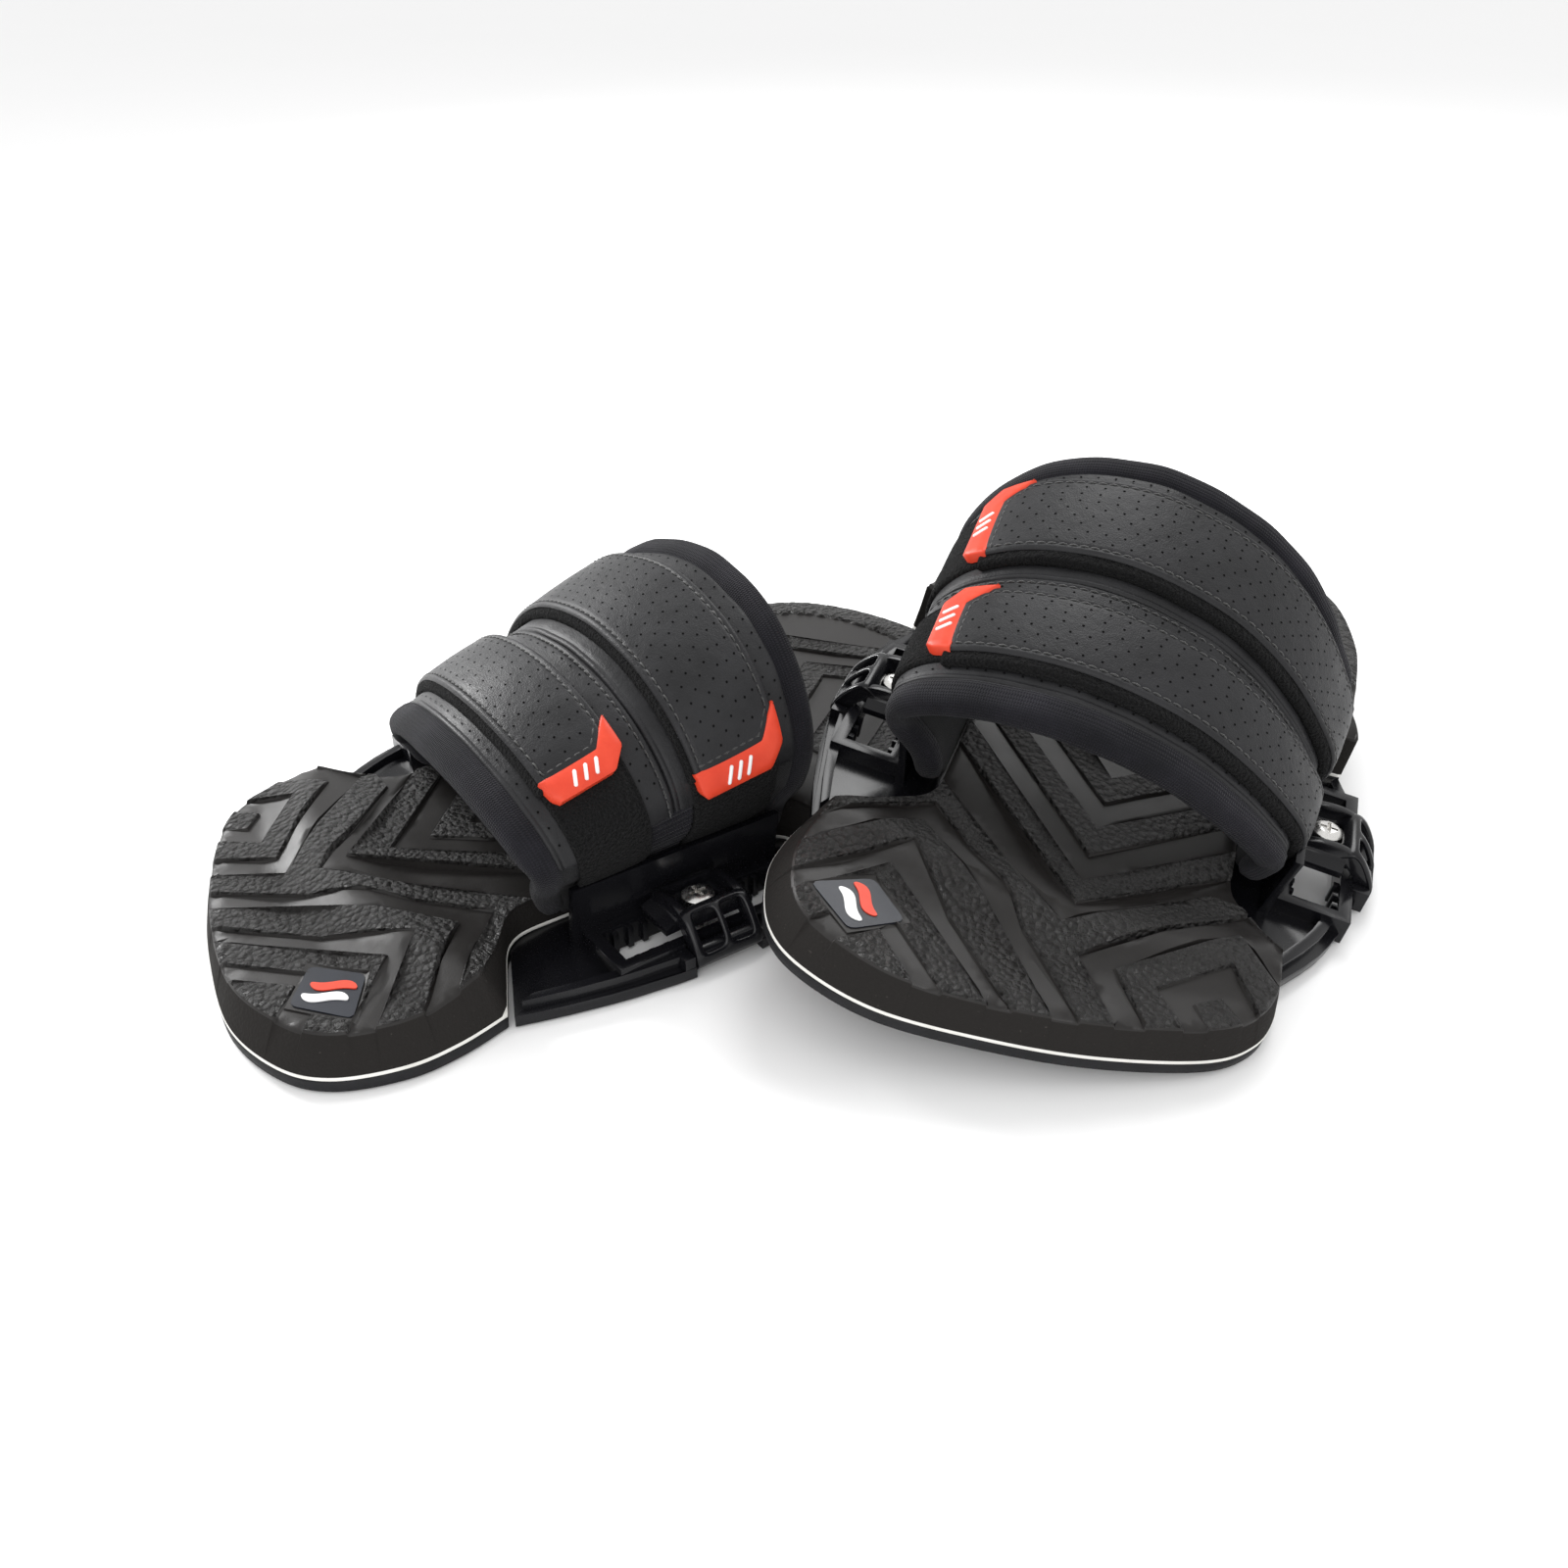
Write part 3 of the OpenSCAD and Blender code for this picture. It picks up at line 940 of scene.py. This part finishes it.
def make_foot_pads():
    points, faces, marks = foam_shape()
    layers = (
        ("base_layer", slab(0, SOLE_TOP, 0.8), RUBBER, "sole", "rubber_base"),
        ("white_layer", slab(SOLE_TOP, FOAM_BASE, 0.25, 0.15), WHITE, "laminate", "laminate_white"),
    )
    for side in SIDES:
        body = f"{side}_binding"
        pad = new_object(
            f"{side}_foam", points, faces, side, [FOAM_SMOOTH, FOAM_ROUGH, FOAM_CUT], marks=marks
        )
        sharpen(pad, 40)
        finish_piece(pad, body, [f"{side}_foam_pad"])
        for name, shape, material, node, slot in layers:
            layer = new_object(f"{side}_{name}", *shape, side, material)
            sharpen(layer, 50)
            finish_piece(layer, body, [f"{side}_{node}"])


# ---------------------------------------------------------------- straps over the instep

V_FRONT = (0.105, 0.36)
V_REAR = (0.53, 0.845)
T_HINGE = 11.3
HINGE_HALF = 0.35
LOOP_LOW = 0.3
LOOP_HIGH = 2.8
STRAP_LOW = 3.1
STRAP_HIGH = 6.1
STRAP_CROWN = 0.7
SEAM_INSET = 2.6
CORNER_CUT = 8.0
STITCH_PITCH = 3.6
STITCH_LENGTH = 2.4
THREAD_RADIUS = 0.3
HOLE_PITCH = 6.2
HOLE_RADIUS = 0.44
HOLE_SIDES = 8
# How far the pile lining shows past the leather's front edge, as a share of the arch's depth.
LINING_SHOWS = {RIGHT: 0.012, LEFT: 0.028}
T_END = {(RIGHT, "front"): 4.6, (RIGHT, "rear"): 3.3, (LEFT, "front"): 4.6, (LEFT, "rear"): 4.5}


def arc_length(v, t):
    """Distance in millimetres along the arch at each place t."""
    return distances(arch(v, t, 0))


def band_width(v):
    return float(np.linalg.norm(arch(v[1], CROWN_T, 0) - arch(v[0], CROWN_T, 0)))


def band_middle(v, t, count):
    """Places between the two ends t of a band, and their distances along its middle."""
    fine = np.linspace(t[0], t[1], count)
    return fine, arc_length(0.5 * (v[0] + v[1]), fine)


def across_band(v, a):
    """The share of the arch's depth at a distance across a band."""
    return v[0] + (v[1] - v[0]) * a / band_width(v)


def crowned(v, a, crown):
    """How far a band's crown lifts its surface at a distance across it."""
    return crown * (1 - (2 * a / band_width(v) - 1) ** 2)


class Band:
    """Places on a band by distances in millimetres: across it, and along it from t_zero."""

    def __init__(self, v, t_zero):
        self.v = v
        self.fine, self.length = band_middle(v, (0, ARCH_END), 400)
        self.zero = np.interp(t_zero, self.fine, self.length)

    def at(self, a, along, r):
        t = np.interp(self.zero + along, self.length, self.fine)
        return arch(across_band(self.v, a), t, r)


def strip(v, t, low, high, edge=1.0, crown=0.0, grooves=(), step=2.2, across=28, ripple=None,
          cut=0.0):
    """A closed band of the arch: points, faces and UVs in millimetres.

    v and t are its ranges, low and high how far its two faces stand proud. edge rounds its long
    edges, crown lifts its middle, and grooves are (distance from an edge, depth) sewn lines.
    cut takes a corner of that size off the first end, on the heel side.
    """
    fine, length = band_middle(v, t, 200)
    run = np.linspace(0, length[-1], max(4, int(length[-1] / step)))
    width = band_width(v)

    a = np.linspace(0, 1, across) * width
    extra = []
    for distance, _ in grooves:
        for d in (distance, width - distance):
            extra.extend([d - 0.9, d - 0.4, d, d + 0.4, d + 0.9])
    extra.extend([edge * 0.3, edge, width - edge, width - edge * 0.3])
    a = np.unique(np.round(np.clip(np.concatenate([a, extra]), 0, width), 2))
    rise = crowned(v, a, crown)
    for distance, depth in grooves:
        for d in (distance, width - distance):
            rise = rise - depth * np.exp(-(((a - d) / 0.5) ** 2))
    from_edge = np.minimum(a, width - a)
    rounding = edge - np.sqrt(np.maximum(edge**2 - (edge - from_edge) ** 2, 0))
    drop = np.where(from_edge < edge, rounding, 0)
    half = 0.5 * (high - low)
    drop = np.minimum(drop, half) if edge > half else drop
    top_r = high + rise - drop
    low_r = low + np.minimum(drop, half) * 0.8
    ring_a = np.concatenate([a, a[::-1]])
    ring_r = np.concatenate([top_r, low_r[::-1]])
    middle = 0.5 * (low + high)
    share = ring_a / width
    start = np.maximum(0, ring_a - (width - cut))
    run = np.concatenate([[0, 0.35, 0.9], run[1:-1], [run[-1] - 0.9, run[-1] - 0.35, run[-1]]])
    squeeze = np.ones(len(run))
    squeeze[:3] = squeeze[:-4:-1] = (0.35, 0.8, 1.0)
    rings = []
    uvs = []
    for s, thick in zip(run, squeeze):
        r = middle + (ring_r - middle) * thick
        if ripple is not None:
            r = r + ripple(share, s, length[-1])
        far = start + s * (1 - start / length[-1])
        place_t = np.interp(far, length, fine)
        rings.append(arch(v[0] + (v[1] - v[0]) * share, place_t, r))
        uvs.append(np.column_stack([ring_a, far]))
    faces = [f[::-1] for f in capped_faces(len(run), len(ring_a))]
    return np.vstack(rings), faces, np.vstack(uvs)


def roll(v, low, high, lumps=0.05, wrap=18, step=2.5):
    """A rounded tube along an edge of the arch, which narrows at both ends."""
    fine, length = band_middle(v, (0, ARCH_END), 200)
    run = np.linspace(0, length[-1], int(length[-1] / step))
    stations = np.interp(run, length, fine)
    angle = np.linspace(0, 2 * math.pi, wrap, endpoint=False)
    half = 0.5 * (high - low)
    middle = 0.5 * (high + low)
    power = 0.75
    ca = np.sign(np.cos(angle)) * np.abs(np.cos(angle)) ** power
    sa = np.sign(np.sin(angle)) * np.abs(np.sin(angle)) ** power
    around = angle / (2 * math.pi) * (2 * band_width(v) + 4 * half) * 0.85
    rings = []
    uvs = []
    for place_t, s in zip(stations, run):
        near = min(s, length[-1] - s)
        close = math.sqrt(max(0.04, 1 - max(0, 1 - near / 7.0) ** 2))
        swell = 1 + lumps * math.sin(s * 0.21) * math.sin(s * 0.083 + 1)
        share = 0.5 + 0.5 * ca * close
        r = middle + half * sa * close * swell
        rings.append(arch(v[0] + (v[1] - v[0]) * share, place_t, r))
        uvs.append(np.column_stack([around, np.full(wrap, s)]))
    return np.vstack(rings), capped_faces(len(run), wrap), np.vstack(uvs)


def stitch_line(parts, v, t, r):
    """Thread stitches along the arch at the share v of its depth."""
    fine = np.linspace(t[0], t[1], 240)
    run = arc_length(v, fine)
    for k in range(int(run[-1] / STITCH_PITCH)):
        begin = k * STITCH_PITCH + 0.4
        here = np.interp([begin, begin + STITCH_LENGTH / 2, begin + STITCH_LENGTH], run, fine)
        lift = r + np.array([-0.12, 0.22, -0.12])
        parts.add(*tube(arch(v, here, lift), THREAD_RADIUS, 6))


def hole_shade_grid(parts, v, t, r, crown, margin=5.4, cut=0.0):
    """Small dark discs in place of the perforations, in staggered rows, r proud of the arch:
    painted shade of the holes, partly the dark padding seen through them.
    """
    fine, length = band_middle(v, t, 240)
    width = band_width(v)
    rows = max(1, int(round((width - 2 * margin) / (HOLE_PITCH * 0.62))) + 1)
    offsets = np.linspace(margin, width - margin, rows) if rows > 1 else [width / 2]
    turns = [2 * math.pi * k / HOLE_SIDES for k in range(HOLE_SIDES)]
    q = HOLE_RADIUS * np.array([(math.cos(turn), math.sin(turn)) for turn in turns])
    faces = [[HOLE_SIDES, (k + 1) % HOLE_SIDES, k] for k in range(HOLE_SIDES)]
    for row, a in enumerate(offsets):
        shift = 0.5 * HOLE_PITCH if row % 2 else 0.0
        begin = margin + shift + max(0.0, a - (width - cut))
        for s in np.arange(begin, length[-1] - margin * 0.6, HOLE_PITCH):
            place_t = float(np.interp(s, length, fine))
            dt = float(np.interp(s + 1, length, fine)) - place_t
            lift = r + crowned(v, a, crown) + 0.07
            outer = arch(across_band(v, a + q[:, 0]), place_t + dt * q[:, 1], lift)
            centre = arch(across_band(v, a), place_t, lift + 0.02)
            parts.add(np.vstack([outer, centre[None]]), faces)


def stitch_path(parts, v, t_zero, path, r, crown):
    """Stitches along a path of (distance across, distance along from t_zero) on a band."""
    band = Band(v, t_zero)
    path = np.asarray(path, float)
    run = distances(path)
    for begin in np.arange(0.3, run[-1] - STITCH_LENGTH, STITCH_PITCH):
        s = begin + np.array([0, 0.5, 1]) * STITCH_LENGTH
        a = np.interp(s, run, path[:, 0])
        lift = r + crowned(v, a, crown) + np.array([-0.15, 0.15, -0.15])
        parts.add(*tube(band.at(a, np.interp(s, run, path[:, 1]), lift), THREAD_RADIUS, 6))


def cloth_object(name, shape, side, material):
    points, faces, uv = shape
    obj = new_object(name, points, faces, side, material, uv)
    sharpen(obj, 60)
    return obj


def pad_piece(side, name, shape, material, nodes):
    obj = cloth_object(f"{side}_{name}", shape, side, material)
    finish_piece(obj, f"{side}_binding", nodes)
    return obj


PANEL_HIGH = 1.0
FRONT_PANEL = (0.04, 0.456)
REAR_PANEL = (0.46, 0.945)
PANEL_T = (2.6, 12.9)
PANEL_SEAM = 2.2


def wrinkle(amount, phase):
    """A gentle unevenness for padded cloth, as a function of place."""

    def shape(share, s, total):
        fade = np.sin(math.pi * np.clip(s / total, 0, 1)) ** 0.5
        wave = np.sin(s * 0.19 + phase + 3 * share) * np.sin(s * 0.071 + 2 * phase)
        return amount * fade * wave

    return shape


def ribs(share, s, total):
    """The pleats of the stretch panel between the straps."""
    return 0.32 * np.sin(s * 2.6) * np.ones_like(share)


def make_arch_pads():
    for side in SIDES:
        phase = 0.7 if side == RIGHT else 2.1
        pad_piece(
            side, "pad_core",
            strip((0.03, 0.945), (0, ARCH_END), -7.5, 0, 1.5, 0.0, ripple=wrinkle(0.25, phase)),
            SMOOTH_NEOPRENE, [f"{side}_strap_pad"],
        )
        pad_piece(
            side, "front_edge_roll", roll((-0.045, 0.056), -8, 1.4), KNIT,
            [f"{side}_front_roll"],
        )
        pad_piece(
            side, "rear_edge_roll", roll((0.918, 1.012), -8, 2.4), KNIT,
            [f"{side}_rear_roll"],
        )
        for name, v in (("front_panel", FRONT_PANEL), ("rear_panel", REAR_PANEL)):
            pad_piece(
                side, name,
                strip(v, PANEL_T, -0.6, PANEL_HIGH, 0.8, 0.3, ((PANEL_SEAM, 0.35),),
                      ripple=wrinkle(0.2, phase + 1)),
                LEATHER, [],
            )
        pad_piece(
            side, "ribbed_panel",
            strip((0.365, 0.525), (1.0, 2.75), -0.4, 0.9, 0.5, 0.0, step=0.45, ripple=ribs),
            KNIT, [],
        )
        parts = Parts()
        share = 1 - PANEL_SEAM / band_width(FRONT_PANEL)
        seam = FRONT_PANEL[0] + (FRONT_PANEL[1] - FRONT_PANEL[0]) * share
        stitch_line(parts, seam, PANEL_T, PANEL_HIGH)
        seams = parts.object(f"{side}_panel_stitches", side, THREAD)
        finish_piece(seams, f"{side}_binding", [])
        parts = Parts()
        # dark discs in place of the panels' perforations, with painted hole shade
        for v in ((0.36, 0.436), (0.055, 0.092), (0.855, 0.925)):
            hole_shade_grid(parts, v, (3.2, 12.4), PANEL_HIGH, 0.3, 2.2)
        hole_shade_dots = parts.object(f"{side}_panel_hole_shade", side, HOLE_SHADE)
        finish_piece(hole_shade_dots, f"{side}_binding", [])


def tufts(share, s, total):
    """Uneven pile, as a function of place."""
    return 0.35 * np.sin(s * 1.9 + 5 * share) * np.sin(s * 0.73 + 11 * share)


def make_straps():
    for side in SIDES:
        for end, v, root_t in (("front", V_FRONT, 12.9), ("rear", V_REAR, 12.95)):
            t_end = T_END[(side, end)]
            flap = f"{side}_{end}_flap"
            loop = pad_piece(
                side, f"{end}_pile_strap",
                strip((v[0] - 0.004, v[1] + 0.002), (0.85, 9), LOOP_LOW, LOOP_HIGH, 1.0, 0.3,
                      ((2.0, 0.3),)),
                PILE, [f"{side}_{end}_loop_strap"],
            )
            below, above = (
                row_point(arch(0.5 * (v[0] + v[1]), T_HINGE + turn, STRAP_HIGH), side)
                for turn in (HINGE_HALF, -HINGE_HALF)
            )
            parts = Parts()
            width = band_width(v)
            reach = band_middle(v, (t_end, root_t), 200)[1][-1]
            seam = SEAM_INSET
            stitch_path(
                parts, v, t_end,
                [(seam, reach - 2), (seam, seam), (width - CORNER_CUT - 0.8, seam),
                 (width - seam, CORNER_CUT + 1.2), (width - seam, reach - 2)],
                STRAP_HIGH - 0.12, STRAP_CROWN,
            )
            stitches = parts.object(f"{side}_{end}_strap_stitches", side, THREAD)
            parts = Parts()
            # dark discs in place of the strap's perforations, with painted hole shade
            hole_shade_grid(parts, v, (t_end, root_t), STRAP_HIGH, STRAP_CROWN, cut=CORNER_CUT + 4)
            hole_shade_parts = parts.object(f"{side}_{end}_strap_hole_shade", side, HOLE_SHADE)
            lining = cloth_object(
                f"{side}_{end}_strap_lining",
                strip((v[0] - LINING_SHOWS[side], v[1] + 0.004), (t_end - 0.1, root_t),
                      STRAP_LOW - 2.4, STRAP_LOW + 1.7, 1.6, 0.2, across=16, ripple=tufts),
                side, PILE,
            )
            strap = cloth_object(
                f"{side}_{end}_strap_leather",
                strip(v, (t_end, root_t), STRAP_LOW + 1.3, STRAP_HIGH, 1.1, STRAP_CROWN,
                      ((SEAM_INSET, 0.35),), cut=CORNER_CUT),
                side, LEATHER,
            )
            for obj, nodes, slot in (
                (strap, [f"{side}_{end}_strap", f"{side}_{end}_strap_root"], "leather"),
                (lining, [], "loop_fabric"),
                (stitches, [], "leather"),
                (hole_shade_parts, [], "leather"),
            ):
                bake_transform(obj)
                finish_piece(obj, None, nodes)
            make_tab(side, end, v, t_end, flap)


def arch_plate(v, t_zero, outline, low, high, edge=0.7):
    """A thin plate on the arch. outline is (distance across, distance along from t_zero)."""
    band = Band(v, t_zero)
    line = spaced(np.asarray(outline, float), 1.2)
    inner = inward(line, edge)
    flat, tris = filled(inner, line, edge + 1, PLATE_GRID)
    tris = upward(flat, tris)
    rings = [(inner, low), (line, low), (line, high - edge * 0.8), (inner, high)]
    points = [band.at(p[:, 0], p[:, 1], r) for p, r in rings + [(flat, high), (flat, low)]]
    faces = ring_faces(len(rings), len(line))
    if signed_area(line) < 0:
        faces = [f[::-1] for f in faces]
    count = len(rings) * len(line)
    faces.extend([[int(i) + count for i in t] for t in tris])
    faces.extend([[int(i) + count + len(flat) for i in t[::-1]] for t in tris])
    # distances along a band run against the arch's outward turn, so the faces are reversed
    return np.vstack(points), [f[::-1] for f in faces]


def make_tab(side, end, v, t_end, flap):
    """The red moulding round the strap's free end, with three small pale bars."""
    w = band_width(v)
    c = CORNER_CUT
    outline = [
        (-0.2, 1.2), (1.0, -5.4), (3.0, -7.6), (w - 5.5, -7.6), (w + 0.9, -2), (w + 0.9, c + 2),
        (w - 0.8, c + 0.6), (w - c, 1.2),
    ]
    points, faces = arch_plate(v, t_end, outline, STRAP_LOW, STRAP_HIGH + 0.7)
    obj = new_object(f"{side}_{end}_red_tab", points, faces, side, RED)
    weld(obj)
    sharpen(obj, 50)
    finish_piece(obj, flap, [f"{side}_{end}_tab"])
    band = Band(v, t_end)
    parts = Parts()
    for k in range(3):
        middle = w * 0.36 + 4.4 * k
        across = np.linspace(middle - 1.1, middle + 1.1, 5)
        parts.add(*tube(band.at(across, np.linspace(-5.6, -1.6, 5), STRAP_HIGH + 0.6), 0.7, 10))
    marks = parts.object(f"{side}_{end}_tab_relief", side, PALE)
    finish_piece(marks, flap, [])


# ---------------------------------------------------------------- label


def draped(points, lift):
    """Plan points at a height over the flat that carries the label."""
    p = np.asarray(points, float)
    return np.column_stack([p, label_flat(p) + lift])


def film(outline, lift, thickness):
    """A thin film of that plan outline, laid on the foam."""
    flat, tris = filled(outline, outline, 1, FILM_GRID)
    skirt = draped(outline, lift - thickness)
    count = len(flat)
    faces = [[int(i) for i in t] for t in tris]
    faces.extend([i, count + i, count + j, j] for i, j in loop_edges(len(outline)))
    faces.append([count + i for i in range(len(outline))])
    return np.vstack([draped(flat, lift), skirt]), faces


def make_labels():
    """A film label on the foam, with a plain two-colour wave."""
    outline = spaced(rounded(BADGE + BADGE[:2], 2.5)[1:-1], 1.5)
    centre = outline.mean(axis=0)
    along = np.array([0.76, 0.65])
    cross = np.array([-0.65, 0.76])
    for side in SIDES:
        obj = new_object(f"{side}_label", *film(outline, 0.45, 1.3), side, LABEL)
        weld(obj, False)
        finish_piece(obj, f"{side}_binding", [f"{side}_badge"])
        for name, material, shift in (("pale_wave", PALE, 3.1), ("red_wave", RED, -2.6)):
            s = np.linspace(-1, 1, 25)
            line = centre + cross * shift
            line = line + np.outer(s * 7.6, along) + np.outer(1.5 * np.sin(s * 2.6), cross)
            half = 2.1 * np.sqrt(np.clip(1 - 0.96 * s**2, 0, 1))
            shape = np.vstack([line + half[:, None] * cross, (line - half[:, None] * cross)[::-1]])
            wave = new_object(f"{side}_label_{name}", *film(shape, 0.85, 0.6), side, material)
            weld(wave, False)
            finish_piece(wave, f"{side}_binding", [])


# ---------------------------------------------------------------- chassis, clamps and screws


BEVEL_ANGLE = 32


def softened_copy(node, name, material, width, body):
    """A copy of a CAD part with softened edges, shown instead of it."""
    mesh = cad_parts[node].data.copy()
    mesh.name = name
    mesh.materials.clear()
    mesh.materials.append(material)
    obj = add_object(name, mesh)
    with editing(mesh) as work:
        bmesh.ops.remove_doubles(work, verts=work.verts, dist=2e-5)
        bmesh.ops.dissolve_limit(
            work, angle_limit=math.radians(2), verts=work.verts, edges=work.edges
        )
        for f in work.faces:
            f.smooth = True
    bevel = obj.modifiers.new("edges", "BEVEL")
    bevel.width = width * MM
    bevel.segments = 2
    bevel.limit_method = "ANGLE"
    bevel.angle_limit = math.radians(BEVEL_ANGLE)
    bevel.use_clamp_overlap = True
    bevel.harden_normals = True
    bake(obj)
    finish_piece(obj, body, [node])


# The clamp's cover in section, from over the screw to its hinge: [out from the screw, height].
COVER = [
    [-10, 13.4], [-8.9, 16.4], [-5, 17.3], [0, 17.3], [4.6, 18.2], [7.6, 21.2], [11, 21.6],
    [14.6, 18.8], [18.2, 14.2], [20.9, 9.4], [21.4, 5.2],
]
COVER_ROWS = (-13.5, -10.2, -7, -1.3, 1.3, 7, 10.2, 13.5)
COVER_THICK = 2.4
SCREW_SPAN = 166


def make_clamp_cover(side, where):
    """The clamp's rounded cover: open round the screw, and with two windows on its slope."""
    way = 1 if where == "lateral" else -1
    rows = len(COVER_ROWS)
    points = []
    for u, z in COVER:
        for y in COVER_ROWS:
            fall = 0.9 * (abs(y) / COVER_ROWS[-1]) ** 4
            points.append((way * (SCREW_SPAN / 2 + u), y, z - fall))
    faces = []
    for i in range(len(COVER) - 1):
        for j in range(rows - 1):
            middle = 0.5 * (COVER_ROWS[j] + COVER_ROWS[j + 1])
            round_screw = i < 4 and abs(middle) < 7
            window = 6 <= i <= 8 and 1.3 < abs(middle) < 10
            if round_screw or window:
                continue
            a = i * rows + j
            face = [a, a + rows, a + rows + 1, a + 1]
            faces.append(face if way > 0 else face[::-1])
    cover = new_object(f"{side}_{where}_clamp_cover", points, faces, side, GLOSS)
    solid = cover.modifiers.new("wall", "SOLIDIFY")
    solid.thickness = COVER_THICK * MM
    solid.offset = -1
    smooth = cover.modifiers.new("round", "SUBSURF")
    smooth.levels = smooth.render_levels = 3
    bake(cover)
    for f in cover.data.polygons:
        f.use_smooth = True
    finish_piece(cover, f"{side}_{where}_clamp", [])


def make_hardware():
    for side in SIDES:
        softened_copy(
            f"{side}_chassis", f"{side}_chassis_moulding", GLOSS, 0.6, f"{side}_binding",
        )
        for where in ("medial", "lateral"):
            softened_copy(
                f"{side}_{where}_clamp", f"{side}_{where}_clamp_moulding", GLOSS, 0.7,
                f"{side}_{where}_clamp",
            )
            make_clamp_cover(side, where)
            softened_copy(
                f"{side}_{where}_screw", f"{side}_{where}_screw_head", STEEL, 0.25,
                f"{side}_{where}_screw",
            )


# ---------------------------------------------------------------- scene


FLOOR_HALF = 30.0


def make_stage():
    floor_mesh = bpy.data.meshes.new("floor")
    corners = [(-1, -1), (1, -1), (1, 1), (-1, 1)]
    floor_mesh.from_pydata([(FLOOR_HALF * x, FLOOR_HALF * y, 0) for x, y in corners], [],
                           [(0, 1, 2, 3)])
    floor = add_object("floor", floor_mesh)
    floor.location.z = cad_box[0][2] - 0.0002
    n = Nodes("pale_floor")
    tone = n.noise(n.point(), 3, 3)
    floor_mesh.materials.append(
        n.set(Base_Color=n.colours(tone, (0.93, 0.93, 0.93), (0.94, 0.94, 0.94)), Roughness=0.9)
    )


def add_light(name, energy, location, size):
    """A round area light that points at the pair."""
    data = bpy.data.lights.new(name, "AREA")
    data.energy = energy
    data.shape = "DISK"
    data.size = size
    obj = add_object(name, data)
    obj.location = location
    way = Vector(LIGHT_TARGET) - Vector(location)
    obj.rotation_euler = way.to_track_quat("-Z", "Y").to_euler()


CAMERA_PLACE = (-0.4368, 0.2149, 0.3182)
CAMERA_FORWARD = (0.6931, -0.4927, -0.5261)
CAMERA_UP = (0.4288, -0.3048, 0.8504)
CAMERA_LENS = 33.75
LIGHT_TARGET = (-0.05, -0.08, 0.04)


def make_camera_and_light():
    data = bpy.data.cameras.new("camera")
    data.lens = CAMERA_LENS
    data.sensor_width = 36
    data.clip_start = 0.01
    camera = add_object("camera", data)
    forward = Vector(CAMERA_FORWARD).normalized()
    up = Vector(CAMERA_UP).normalized()
    right = forward.cross(up).normalized()
    up = right.cross(forward)
    turn = Matrix((right, up, -forward)).transposed()
    camera.matrix_world = Matrix.Translation(CAMERA_PLACE) @ turn.to_4x4()
    bpy.context.scene.camera = camera

    add_light("key", 12, (0.5, -1.0, 1.4), 0.9)
    add_light("fill", 7, (-1.1, 0.9, 0.9), 1.2)
    add_light("rim", 19, (1.25, 0.35, 0.75), 0.45)
    world = bpy.data.worlds.new("studio")
    world.use_nodes = True
    background = world.node_tree.nodes["Background"]
    background.inputs["Color"].default_value = (1, 1, 1, 1)
    background.inputs["Strength"].default_value = 0.97
    bpy.context.scene.world = world
    bpy.context.scene.view_settings.view_transform = "Standard"


make_stage()
make_foot_pads()
make_labels()
make_hardware()
make_arch_pads()
make_straps()
make_camera_and_light()
